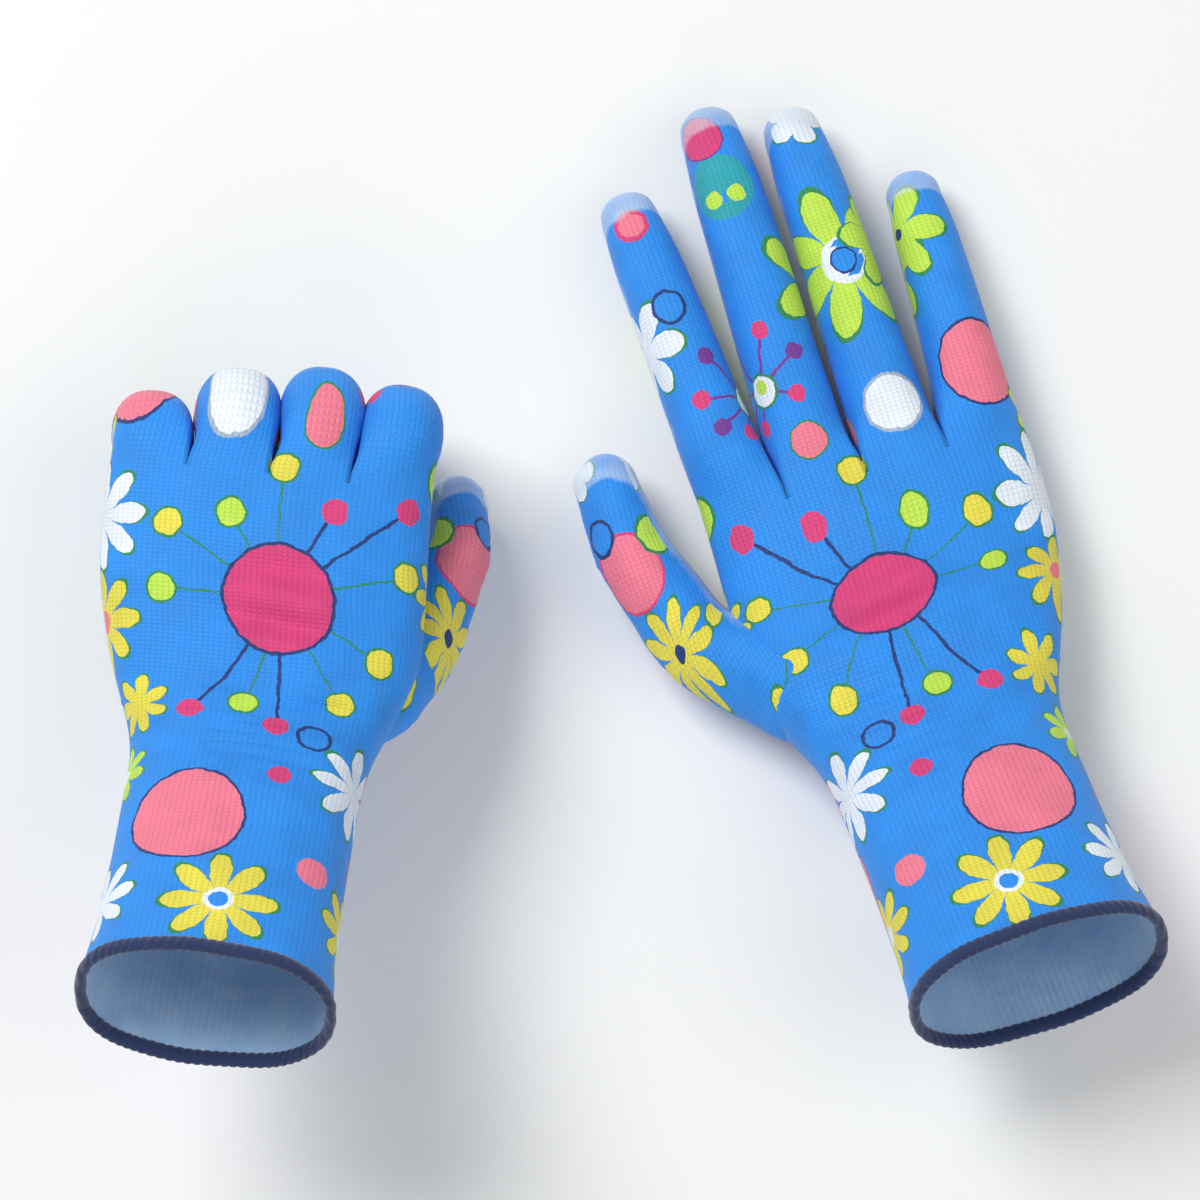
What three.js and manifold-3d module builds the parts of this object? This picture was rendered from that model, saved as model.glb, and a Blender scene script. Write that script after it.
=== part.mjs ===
// A pair of seamless knit gardening gloves with a thin film dipped over palms and fingertips.
// The right glove lies open, palm down. The left glove is closed into a fist. Each glove is a
// hollow knit liner with an open cuff, and divides into pieces at the knuckles so it can bend.
//
// Frame: millimetres, +Z up from the surface the gloves lie on, +Y towards the fingers.
// Hand frame: x towards the little finger, y towards the fingertips, z out of the back of the
// hand, with the origin in the row of knuckles. The left glove is the mirror of the right.

import * as THREE from 'three';
import { mergeVertices } from 'three/addons/utils/BufferGeometryUtils.js';
import Module from 'manifold-3d';

const wasm = await Module();
wasm.setup();

// ---------------------------------------------------------------- driving dimensions

const CENTRE = [-0.143, 4.664, 0]; // brings the middle of the pair to the origin
const WALL = 1.2; // knit liner
const GAP = 0.3; // clearance between neighbouring pieces
const FILM = 0.6; // dipped film
const FILM_OFF = GAP; // film's inner face from the knit's outer face on the digits
const PALM_FILM_OFF = 0.6; // the same on the palm
const FILM_CLEAR = 0.2; // least room between the palm film and the knit
const AROUND = 12; // points round a finger
const PALM_AROUND = 16; // points round the palm and cuff
const PALM_FLOOR = -12.6; // palm side of the liner in the hand frame
const DORSAL_SHARE = 0.58; // share of a finger's thickness behind its pivots
const SQUARENESS = 0.86; // below 1 makes a section fuller than an ellipse

// Each finger: pivot of its first knuckle, lean from the hand axis in degrees, segment lengths,
// and half widths and thicknesses at the three pivots and near the tip.
const FINGERS = {
  index: {
    base: [-29.3, 2], lean: -2.2, lengths: [37, 23, 19.5],
    half: [10.3, 9.5, 8.8, 7.6], thick: [22.5, 19.5, 17.0, 13.6],
  },
  middle: {
    base: [-7.8, 4], lean: 2.0, lengths: [43.5, 27.5, 22],
    half: [10.5, 9.8, 9.1, 7.8], thick: [23.5, 20.2, 17.6, 14.0],
  },
  ring: {
    base: [14.9, 2], lean: 0.8, lengths: [41, 26, 21],
    half: [10.6, 9.6, 8.9, 7.7], thick: [23.0, 19.8, 17.2, 13.8],
  },
  little: {
    base: [37.3, -5], lean: 3.6, lengths: [32, 19.5, 18],
    half: [9.9, 8.9, 8.3, 7.1], thick: [21.0, 18.0, 15.8, 12.6],
  },
};
const SEGMENTS = ['lower', 'middle', 'tip'];

// Palm stations from wrist to knuckles: y, left x, right x, back z, palm z, forward tilt share.
const PALM_STATIONS = [
  [-84, -31.5, 32.5, 24.5, -12.5, 1],
  [-73, -37.0, 36.5, 23.0, -13.2, 0.55],
  [-58, -42.5, 42.5, 20.5, -14.0, 0.15],
  [-40, -41.0, 46.8, 18.0, -14.0, 0],
  [-22, -39.8, 48.0, 16.0, -13.6, 0],
  [-9, -39.4, 47.3, 14.2, -11.6, 0],
];
const WRIST = [0.5, -84, 6]; // pivot of the cuff

// Cuff stations from inside the palm to the hem: y, half width, half thickness.
const CUFF_STATIONS = [
  [4, 29.2, 14.4],
  [-9, 29.2, 14.4],
  [-15, 30.4, 18.0],
  [-42, 30.4, 19.6],
  [-66, 31.4, 21.2],
  [-74, 32.6, 22.4],
];
const HEM = { start: -74.3, end: -78, outer: 1.0, wall: 3.0, around: 22, turns: 6 };

const THUMB_SECTIONS = { half: [9.6, 9.0, 8.0], thick: [19.0, 17.6, 13.4] };
const THUMB_ROOT = 12; // radius where the thumb leaves the palm

// What differs between the open hand and the fist. Flexions are degrees from straight.
const OPEN_HAND = {
  side: 'right', mirror: 1, widthScale: 1, curlRoll: 0,
  origin: [54.5, 34.6, 13.8], lean: 18, slope: 0, roll: 0, cuffTilt: 26,
  flex: { index: [1, 5, 5], middle: [0, 5, 4], ring: [0, 5, 5], little: [2, 6, 5] },
  bend: [80, 95, 62],
  thumb: { scale: 1, root: [-28, -60, 1], knuckle: [-50.5, -41, -1], joint: [-59.6, -12, 1.5],
    tip: [-60.5, 15, -4], bend: [30, 52] },
};
const FIST = {
  side: 'left', mirror: -1, widthScale: 0.94, curlRoll: 8,
  origin: [-84.7, 27, 53.9], lean: -6.5, slope: 3, roll: 0, cuffTilt: 32,
  flex: { index: [84, 96, 54], middle: [86, 98, 54], ring: [86, 98, 54], little: [84, 96, 54] },
  bend: [90, 100, 62],
  thumb: { scale: 0.93, root: [-27, -63, -3], knuckle: [-37, -50, -13], joint: [-42.8, -22, -27],
    tip: [-41.8, -2, -41], bend: [30, 32] },
};

// ---------------------------------------------------------------- materials

const knit = new THREE.MeshStandardMaterial({ color: 0x2f93ea, roughness: 0.9, metalness: 0 });
const film = new THREE.MeshStandardMaterial({ color: 0xdce9f2, roughness: 0.35, metalness: 0 });
const hem = new THREE.MeshStandardMaterial({ color: 0x1d3566, roughness: 0.85, metalness: 0 });

// ---------------------------------------------------------------- skins made of rings

const radians = THREE.MathUtils.degToRad;
const mix = THREE.MathUtils.lerp;
const fuller = (value) => Math.sign(value) * Math.abs(value) ** SQUARENESS;

// Collects triangles from bands between rings of points, and drops those with no area.
class Skin {
  constructor() {
    this.points = [];
  }

  triangle(a, b, c) {
    const near = 1e-4;
    if (a.distanceTo(b) < near || b.distanceTo(c) < near || c.distanceTo(a) < near) return;
    this.points.push(a, b, c);
  }

  // A band from row a to row b. Going towards +y with points turning from +x to +z faces out.
  band(a, b, first = 0, count = a.length, closed = true) {
    for (let i = first; i < first + count; i += 1) {
      const j = closed ? (i + 1) % a.length : i + 1;
      this.triangle(a[i], b[i], b[j]);
      this.triangle(a[i], b[j], a[j]);
    }
  }

  chain(rows) {
    for (let i = 0; i + 1 < rows.length; i += 1) this.band(rows[i], rows[i + 1]);
  }

  sheetChain(rows) {
    for (let i = 0; i + 1 < rows.length; i += 1) {
      this.band(rows[i], rows[i + 1], 0, rows[i].length - 1, false);
    }
  }

  geometry() {
    const made = new THREE.BufferGeometry().setFromPoints(this.points);
    const merged = mergeVertices(made, 1e-3);
    merged.computeVertexNormals();
    return merged;
  }
}

// A ring across y. cut moves palm-side points along y in proportion to their depth, which makes
// the relief that lets two segments fold towards the palm.
function ring(s, count = AROUND) {
  const points = [];
  for (let i = 0; i < count; i += 1) {
    const angle = (2 * Math.PI * i) / count;
    const across = fuller(Math.cos(angle)) * s.half + (s.x ?? 0);
    const sine = fuller(Math.sin(angle));
    const z = sine * (sine > 0 ? s.back : s.palm) + (s.z ?? 0);
    points.push(new THREE.Vector3(across, s.y - (s.cut ?? 0) * Math.min(0, z), z));
  }
  return points;
}

const shrink = (s, by) => ({ ...s, half: s.half - by, back: s.back - by, palm: s.palm - by });
const pole = (point, count = AROUND) => Array.from({ length: count }, () => point);

// Sizes of a finger's section at a share of the way between two stations.
function sectionAt(spec, from, to, share, y, scale) {
  const thick = mix(spec.thick[from], spec.thick[to], share);
  return {
    y,
    half: mix(spec.half[from], spec.half[to], share) * scale,
    back: thick * DORSAL_SHARE,
    palm: thick * (1 - DORSAL_SHARE),
  };
}

// The rows of a segment's outer face from its first pivot towards the next, and for the last
// segment on to the rounded end.
function segmentRows(seg) {
  const { spec, at, length, scale, cuts, tip, nested } = seg;
  const rows = [];
  const start = sectionAt(spec, at, at + 1, 0, nested ? 0 : GAP / 2, scale);
  const neck = nested ? shrink(start, WALL + GAP) : start;
  rows.push({ ...neck, cut: cuts[0] });
  if (nested) rows.push(sectionAt(spec, at, at + 1, 0.14, length * 0.14, scale));
  if (nested) rows[1].cut = cuts[0] * 0.75;
  if (!tip) {
    rows.push(sectionAt(spec, at, at + 1, 0.5, length * 0.5, scale));
    rows.push({ ...sectionAt(spec, at, at + 1, 1, length - GAP, scale), cut: -cuts[1] });
    return rows;
  }
  const body = length - spec.half[at + 1] * 0.95;
  rows.push(sectionAt(spec, at, at + 1, 0.5, body * 0.6, scale));
  const last = sectionAt(spec, at, at + 1, 1, body, scale);
  for (const turn of [0, 36, 66]) {
    const close = Math.cos(radians(turn));
    rows.push({
      y: body + Math.sin(radians(turn)) * (length - body),
      lift: Math.sin(radians(turn)),
      half: last.half * close,
      back: last.back * close,
      palm: last.palm * close,
    });
  }
  return rows;
}

// The hollow knit of one segment. A nested segment starts with the back half of its section
// turned round the pivot, so its knuckle stays closed when it is bent.
function segmentGeometry(seg) {
  const skin = new Skin();
  const outer = segmentRows(seg);
  const inner = outer.map((s) => shrink(s, WALL));
  const outerRings = outer.map((s) => ring(s));
  let innerRings = inner.map((s) => ring(s));
  if (seg.tip) {
    innerRings = innerRings.slice(0, -1);
    const end = new THREE.Vector3(0, seg.length, 0);
    const inside = new THREE.Vector3(0, seg.length - WALL, 0);
    skin.chain([...outerRings, pole(end)]);
    skin.chain([pole(inside), ...innerRings.toReversed()]);
  } else {
    skin.chain(outerRings);
    skin.chain([outerRings.at(-1), innerRings.at(-1)]);
    skin.chain(innerRings.toReversed());
  }
  const half = AROUND / 2;
  if (!seg.nested) {
    skin.chain([innerRings[0], outerRings[0]]);
    return skin.geometry();
  }
  skin.band(innerRings[0], outerRings[0], half, half);
  const turned = (row, angle) => row.slice(0, half + 1).map((p) => new THREE.Vector3(
    p.x, -p.z * Math.sin(angle), p.z * Math.cos(angle)));
  const steps = 4;
  const angles = Array.from({ length: steps + 1 }, (_, i) => radians(seg.nested) * (1 - i / steps));
  const outerCap = angles.map((angle) => turned(outerRings[0], angle));
  const innerCap = angles.map((angle) => turned(innerRings[0], angle));
  skin.sheetChain([...innerCap.toReversed(), ...outerCap]);
  return skin.geometry();
}

// The film on the palm side of a segment: a thin sheet, wrapped round the fingertip.
function filmGeometry(seg) {
  const wrap = seg.tip ? 1 : 0;
  const steps = AROUND / 2 + 2 * wrap;
  const rows = segmentRows({ ...seg, nested: 0 });
  const sheet = (off) => rows.map((s, index) => {
    const ends = index === 0 ? GAP : 0;
    const round = ring({ ...shrink(s, -off), y: s.y + ends + (s.lift ?? 0) * off });
    return Array.from({ length: steps + 1 }, (_, i) => round[(AROUND / 2 - wrap + i) % AROUND]);
  });
  const outer = sheet(FILM_OFF + FILM);
  const inner = sheet(FILM_OFF);
  if (seg.tip) {
    outer.push(pole(new THREE.Vector3(0, seg.length + FILM_OFF + FILM, 0), steps + 1));
    inner.push(pole(new THREE.Vector3(0, seg.length + FILM_OFF, 0), steps + 1));
  }
  const skin = new Skin();
  skin.sheetChain(outer);
  skin.sheetChain(inner.toReversed());
  skin.sheetChain([inner[0], outer[0]]);
  skin.sheetChain([outer.at(-1), inner.at(-1)]);
  for (let i = 0; i + 1 < outer.length; i += 1) {
    skin.triangle(outer[i][0], inner[i][0], inner[i + 1][0]);
    skin.triangle(outer[i][0], inner[i + 1][0], outer[i + 1][0]);
    skin.triangle(outer[i][steps], outer[i + 1][steps], inner[i + 1][steps]);
    skin.triangle(outer[i][steps], inner[i + 1][steps], inner[i][steps]);
  }
  return skin.geometry();
}

// ---------------------------------------------------------------- solids for the palm

function solid(geometry, matrix = new THREE.Matrix4()) {
  const plain = new THREE.BufferGeometry();
  plain.setAttribute('position', geometry.getAttribute('position').clone());
  if (geometry.index) plain.setIndex(geometry.index);
  const merged = mergeVertices(plain.applyMatrix4(matrix), 1e-3);
  return new wasm.Manifold(new wasm.Mesh({
    numProp: 3,
    vertProperties: new Float32Array(merged.attributes.position.array),
    triVerts: new Uint32Array(merged.index.array),
  }));
}

function toGeometry(made) {
  const data = made.getMesh();
  const geometry = new THREE.BufferGeometry();
  geometry.setAttribute('position', new THREE.BufferAttribute(
    new Float32Array(data.vertProperties), 3));
  geometry.setIndex(new THREE.BufferAttribute(new Uint32Array(data.triVerts), 1));
  geometry.computeVertexNormals();
  return geometry;
}

// The largest body of a cut, without the slivers beside it.
function mainBody(made) {
  const bodies = made.decompose();
  return bodies.reduce((best, body) => (body.volume() > best.volume() ? body : best));
}

// A closed plug through the given rings.
function plug(rings) {
  const skin = new Skin();
  const middle = (row) => row.reduce((sum, p) => sum.add(p), new THREE.Vector3())
    .divideScalar(row.length);
  skin.chain([pole(middle(rings[0]), rings[0].length), ...rings,
    pole(middle(rings.at(-1)), rings[0].length)]);
  return skin.geometry();
}

// A plug between two points with given half width and thickness at each end.
function limb(from, to, up, sizes) {
  const y = to.clone().sub(from);
  const length = y.length();
  y.normalize();
  const x = y.clone().cross(up).normalize();
  const z = x.clone().cross(y);
  const matrix = new THREE.Matrix4().makeBasis(x, y, z).setPosition(from);
  const rings = sizes.map(([share, half, back, palm]) => ring({
    y: share * length, half, back, palm }));
  return solid(plug(rings), matrix);
}

// The palm's outer or inner shape: a loft from wrist to knuckles with a stub for each digit.
function palmForm(hand, off) {
  const count = PALM_AROUND;
  const tilt = radians(hand.cuffTilt);
  const inward = off < -0.5;
  const rings = PALM_STATIONS.map(([y, left, right, top, bottom, share], index) => {
    const z = (top + bottom) / 2;
    const s = {
      y: 0,
      half: ((right - left) / 2) * hand.widthScale + off,
      back: (top - bottom) / 2 + off,
      palm: (top - bottom) / 2 + off,
    };
    const last = index === PALM_STATIONS.length - 1;
    const turn = new THREE.Matrix4().makeRotationX(-tilt * share)
      .setPosition(((left + right) / 2) * hand.widthScale, y + (last && inward ? off : 0), z);
    return ring(s, count).map((p) => {
      const placed = p.applyMatrix4(turn);
      placed.z = Math.max(placed.z, PALM_FLOOR - off);
      return placed;
    });
  });
  if (inward) {
    const out = new THREE.Vector3(0, -6, 0)
      .applyAxisAngle(new THREE.Vector3(1, 0, 0), -tilt);
    rings.unshift(rings[0].map((p) => p.clone().add(out)));
  }
  let form = solid(plug(rings));
  for (const spec of Object.values(FINGERS)) {
    const matrix = fingerMatrix(hand, spec);
    const along = new THREE.Vector3().setFromMatrixColumn(matrix, 1);
    const back = new THREE.Vector3().setFromMatrixColumn(matrix, 2);
    const pivot = new THREE.Vector3().setFromMatrixPosition(matrix);
    const start = pivot.clone().addScaledVector(along, inward ? -19 : -17);
    const end = pivot.clone().addScaledVector(along, inward ? 4 : 2);
    const thick = spec.thick[0];
    const size = [spec.half[0] * hand.widthScale + off, thick * DORSAL_SHARE + off,
      thick * (1 - DORSAL_SHARE) + off];
    form = form.add(limb(start, end, back, [[0, ...size], [1, ...size]]));
  }
  return form.add(thumbRoot(hand, off));
}

const vector = (v) => new THREE.Vector3(...v);

// The thumb's own frame at its first knuckle, with its back facing away from where it bends.
function thumbFrame(hand) {
  const knuckle = vector(hand.thumb.knuckle);
  const joint = vector(hand.thumb.joint);
  const tip = vector(hand.thumb.tip);
  const y = joint.clone().sub(knuckle).normalize();
  const next = tip.clone().sub(joint).normalize();
  const z = y.clone().sub(next);
  z.addScaledVector(y, -z.dot(y)).normalize();
  const x = y.clone().cross(z);
  return { knuckle, x, y, z, next,
    lengths: [joint.distanceTo(knuckle), tip.distanceTo(joint)],
    flex: THREE.MathUtils.radToDeg(y.angleTo(next)) };
}

function thumbRoot(hand, off) {
  const frame = thumbFrame(hand);
  const { scale } = hand.thumb;
  const half = THUMB_SECTIONS.half[0] * scale + off;
  const back = THUMB_SECTIONS.thick[0] * scale * DORSAL_SHARE + off;
  const palm = THUMB_SECTIONS.thick[0] * scale * (1 - DORSAL_SHARE) + off;
  const root = vector(hand.thumb.root);
  const inward = off < -0.5;
  const over = inward ? 4 : 0.5;
  const end = frame.knuckle.clone().addScaledVector(frame.y, over);
  const wide = THUMB_ROOT + off;
  const y = end.clone().sub(root);
  const length = y.length();
  const rings = [[0, 0.9, 0.95], [0.55, 1, 1]].map(([share, w, t]) => ring({
    y: share * length, half: wide * w, back: wide * t * 0.9, palm: wide * t * 0.85 }));
  const x = y.clone().normalize().cross(frame.z).normalize();
  const matrix = new THREE.Matrix4().makeBasis(x, y.clone().normalize(),
    x.clone().cross(y.clone().normalize())).setPosition(root);
  const placed = rings.map((row) => row.map((p) => p.applyMatrix4(matrix)));
  const knuckleMatrix = new THREE.Matrix4().makeBasis(frame.x, frame.y, frame.z)
    .setPosition(frame.knuckle);
  for (const along of [-5, over]) {
    placed.push(ring({ y: along, half, back, palm }).map((p) => p.applyMatrix4(knuckleMatrix)));
  }
  return solid(plug(placed));
}

// What is cut away in front of a pivot: everything beyond it, and the palm-side relief.
function relief(matrix, bend, { width, depth, back, reach }) {
  const slant = Math.tan(radians(bend) / 2) * depth;
  const shape = new THREE.Shape();
  shape.moveTo(-GAP, back);
  shape.lineTo(-GAP, 0);
  shape.lineTo(-GAP - slant, -depth);
  shape.lineTo(reach, -depth);
  shape.lineTo(reach, back);
  const block = new THREE.ExtrudeGeometry(shape, { depth: width, bevelEnabled: false });
  const turn = new THREE.Matrix4().makeBasis(new THREE.Vector3(0, 1, 0),
    new THREE.Vector3(0, 0, 1), new THREE.Vector3(1, 0, 0)).setPosition(-width / 2, 0, 0);
  return solid(block, matrix.clone().multiply(turn));
}

function fingerMatrix(hand, spec) {
  return new THREE.Matrix4().makeRotationZ(-radians(spec.lean))
    .multiply(new THREE.Matrix4().makeRotationY(radians(-hand.curlRoll)))
    .setPosition(spec.base[0] * hand.widthScale, spec.base[1], 0);
}

function thumbMatrix(hand) {
  const frame = thumbFrame(hand);
  return new THREE.Matrix4().makeBasis(frame.x, frame.y, frame.z).setPosition(frame.knuckle);
}

function cutAtDigits(hand, form) {
  const block = { width: 22.9 * hand.widthScale, depth: 20, back: 30, reach: 30 };
  let cut = form;
  for (const spec of Object.values(FINGERS)) {
    cut = cut.subtract(relief(fingerMatrix(hand, spec), hand.bend[0], block));
  }
  const small = { width: 23, depth: 11, back: 14, reach: 12 };
  return cut.subtract(relief(thumbMatrix(hand), hand.thumb.bend[0], small));
}

function palmKnit(hand) {
  const shell = palmForm(hand, 0).subtract(palmForm(hand, -WALL));
  return toGeometry(mainBody(cutAtDigits(hand, shell)));
}

// The film over the palm: the layer between two grown palms, kept below the hand's side line.
function palmFilm(hand) {
  const layer = palmForm(hand, PALM_FILM_OFF + FILM).subtract(palmForm(hand, PALM_FILM_OFF));
  const keep = new THREE.BoxGeometry(140, 100, 40).translate(0, -27, -20 - 1.5);
  const wristCut = new THREE.BoxGeometry(140, 30, 80).translate(0, -90, 0);
  const kept = layer.intersect(solid(keep)).subtract(solid(wristCut));
  const clear = kept.subtract(palmForm(hand, FILM_CLEAR));
  return toGeometry(mainBody(cutAtDigits(hand, clear)));
}

// ---------------------------------------------------------------- cuff and hem

function cuffKnit(hand) {
  const skin = new Skin();
  const rows = CUFF_STATIONS.toReversed().map(([y, half, thick]) => ({
    y, half: half * hand.widthScale, back: thick, palm: thick }));
  const outer = rows.map((s) => ring(s, PALM_AROUND));
  const inner = rows.map((s) => ring(shrink(s, WALL), PALM_AROUND));
  skin.chain([inner[0], ...outer, ...inner.toReversed()]);
  return skin.geometry();
}

// The overlocked hem: a soft rolled band round the open end of the cuff.
function cuffHem(hand) {
  const [, half, thick] = CUFF_STATIONS.at(-1);
  const middle = (HEM.start + HEM.end) / 2;
  const deep = (HEM.start - HEM.end) / 2;
  const rows = [];
  const around = HEM.around;
  for (let i = 0; i <= HEM.turns; i += 1) {
    const angle = (2 * Math.PI * (i % HEM.turns)) / HEM.turns;
    const off = HEM.outer - HEM.wall / 2 + (HEM.wall / 2) * Math.cos(angle);
    rows.push(ring({ y: middle + deep * Math.sin(angle), half: half * hand.widthScale + off, back: thick + off,
      palm: thick + off }, around));
  }
  const skin = new Skin();
  skin.chain(rows);
  return skin.geometry();
}

// ---------------------------------------------------------------- assembly

function addMesh(parent, name, geometry, material) {
  const mesh = new THREE.Mesh(geometry, material);
  mesh.name = name;
  parent.add(mesh);
}

// Hangs the segments of a digit one from the next, each turned by its flexion at rest.
function addDigit(parent, hand, digit) {
  let at = parent;
  digit.segments.forEach((part, index) => {
    const pivot = new THREE.Group();
    pivot.name = `${hand.side}_${digit.name}_${part}_pivot`;
    if (index > 0) pivot.position.set(0, digit.lengths[index - 1], 0);
    pivot.rotation.x = -radians(digit.flex[index]);
    at.add(pivot);
    at = pivot;
    const cuts = [digit.bend[index], digit.bend[index + 1] ?? 0]
      .map((angle) => Math.tan(radians(angle) / 2));
    const seg = {
      spec: digit.spec, at: index, length: digit.lengths[index], scale: digit.scale, cuts,
      tip: index === digit.segments.length - 1, nested: digit.nested[index],
    };
    const stem = `${hand.side}_${digit.name}_${part}`;
    addMesh(pivot, `${stem}_knit`, segmentGeometry(seg), knit);
    if (part !== 'lower' || digit.name === 'thumb') {
      addMesh(pivot, `${stem}_film`, filmGeometry(seg), film);
    }
  });
}

function makeGlove(hand) {
  const glove = new THREE.Group();
  glove.name = `${hand.side}_glove`;
  glove.position.set(...hand.origin);
  glove.rotation.order = 'ZXY';
  glove.rotation.set(radians(hand.slope), radians(hand.roll), radians(hand.lean));
  glove.scale.set(hand.mirror, 1, 1);
  addMesh(glove, `${hand.side}_palm_knit`, palmKnit(hand), knit);
  addMesh(glove, `${hand.side}_palm_film`, palmFilm(hand), film);

  const cuff = new THREE.Group();
  cuff.name = `${hand.side}_cuff_pivot`;
  cuff.position.set(WRIST[0] * hand.widthScale, WRIST[1], WRIST[2]);
  cuff.rotation.x = -radians(hand.cuffTilt);
  glove.add(cuff);
  addMesh(cuff, `${hand.side}_cuff_knit`, cuffKnit(hand), knit);
  addMesh(cuff, `${hand.side}_cuff_hem`, cuffHem(hand), hem);

  const closed = hand.side === 'left';
  for (const [name, spec] of Object.entries(FINGERS)) {
    const base = new THREE.Group();
    base.applyMatrix4(fingerMatrix(hand, spec));
    glove.add(base);
    const flex = hand.flex[name];
    addDigit(base, hand, {
      name, spec, segments: SEGMENTS, lengths: spec.lengths, flex, bend: hand.bend,
      scale: hand.widthScale, nested: closed ? flex.map((angle) => angle + 2) : [0, 0, 0],
    });
  }
  const frame = thumbFrame(hand);
  const root = new THREE.Group();
  root.applyMatrix4(thumbMatrix(hand));
  glove.add(root);
  addDigit(root, hand, {
    name: 'thumb', spec: THUMB_SECTIONS, segments: ['lower', 'tip'], lengths: frame.lengths,
    flex: [0, frame.flex], bend: hand.thumb.bend, scale: hand.thumb.scale, nested: [0, 0],
  });
  return glove;
}

const group = new THREE.Group();
group.position.set(...CENTRE);
group.add(makeGlove(OPEN_HAND), makeGlove(FIST));

export default group;
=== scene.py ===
"""A pair of printed knit gardening gloves with a dipped film, one open and one closed, as worn."""
import logging
import math
from dataclasses import dataclass, field
from enum import Enum

import bpy
import numpy as np
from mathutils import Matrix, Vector


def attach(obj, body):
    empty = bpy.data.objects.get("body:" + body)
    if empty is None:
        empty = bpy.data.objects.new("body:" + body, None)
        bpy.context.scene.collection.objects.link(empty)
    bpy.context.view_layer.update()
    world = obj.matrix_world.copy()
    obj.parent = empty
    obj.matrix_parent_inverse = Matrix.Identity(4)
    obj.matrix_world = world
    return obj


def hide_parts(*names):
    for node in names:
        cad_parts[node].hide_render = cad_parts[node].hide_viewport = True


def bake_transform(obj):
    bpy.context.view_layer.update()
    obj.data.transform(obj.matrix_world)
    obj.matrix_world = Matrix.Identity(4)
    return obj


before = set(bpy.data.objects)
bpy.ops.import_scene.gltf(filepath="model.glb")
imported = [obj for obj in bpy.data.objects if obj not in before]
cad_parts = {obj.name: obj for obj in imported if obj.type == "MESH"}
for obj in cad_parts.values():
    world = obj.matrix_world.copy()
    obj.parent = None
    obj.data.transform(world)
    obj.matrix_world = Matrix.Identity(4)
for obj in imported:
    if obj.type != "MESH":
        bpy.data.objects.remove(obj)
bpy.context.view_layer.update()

LOG = logging.getLogger("gloves")
MM = 0.001
CENTRE = np.array([-0.143, 4.664, 0.0])  # the pair's middle sits at the origin
WRIST_V, WRIST_Z = -84.0, 6.0  # the wrist crease, along the hand and above the knuckle line
CUFF_LENGTH = 78.0
SPLIT_V = -14.0  # where the palm divides into finger strips
CUFF_TOP = -74.0  # where the cuff piece meets the palm piece
SIDE, STRIP = 8, 12  # columns round a side, and across one finger's strip
FULLNESS = 0.84  # section exponent, below 1 is fuller than an ellipse
KNIT = 1.1  # thickness of the knit
PRINT_UNIT = 100.0  # millimetres for each unit of the print map


class Ink(Enum):
    """Printing inks, in the order of the colour ramp that every printed material reads."""

    GROUND = "#2492F0"
    MAGENTA = "#E33F7E"
    CORAL = "#FA8096"
    YELLOW = "#F0E24C"
    LIME = "#C6EC50"
    WHITE = "#F1F8FF"
    NAVY = "#1B3A7C"
    PURPLE = "#7A3A9C"
    GREEN = "#2C8F58"
    TEAL = "#27A9B4"
    GREY = "#A9B9CC"

    @property
    def place(self) -> float:
        """The middle of this ink's band on the ramp."""
        return (list(Ink).index(self) + 0.5) / len(Ink)


@dataclass(frozen=True)
class Motif:
    """One printed shape, in millimetres on the flat glove: a disc, a ring, or a flower with petals."""

    u: float
    v: float
    radius: float
    body: Ink
    edge: Ink = Ink.NAVY
    core: Ink = Ink.WHITE
    petals: int = 0
    depth: float = 0.0
    turn: float = 0.0
    rim: float = 0.0
    eye: float = 0.0


@dataclass(frozen=True)
class Stem:
    """One printed stem, a thin line between two places on the flat glove."""

    start: tuple[float, float]
    end: tuple[float, float]
    ink: Ink
    width: float = 0.45


def dot(u: float, v: float, radius: float, body: Ink, edge: Ink = Ink.NAVY, rim: float = 0.0) -> Motif:
    """A round dot, with an outline where rim is above nought."""
    return Motif(u, v, radius, body, edge, rim=rim)


def flower(u: float, v: float, radius: float, body: Ink, petals: int = 8, depth: float = 0.8,
           core: Ink = Ink.WHITE, eye: float = 0.0, turn: float = 0.3) -> Motif:
    """A flower of rounded petals round an eye."""
    return Motif(u, v, radius, body, Ink.GREEN, core, petals, depth, turn, 0.07, eye)


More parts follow.
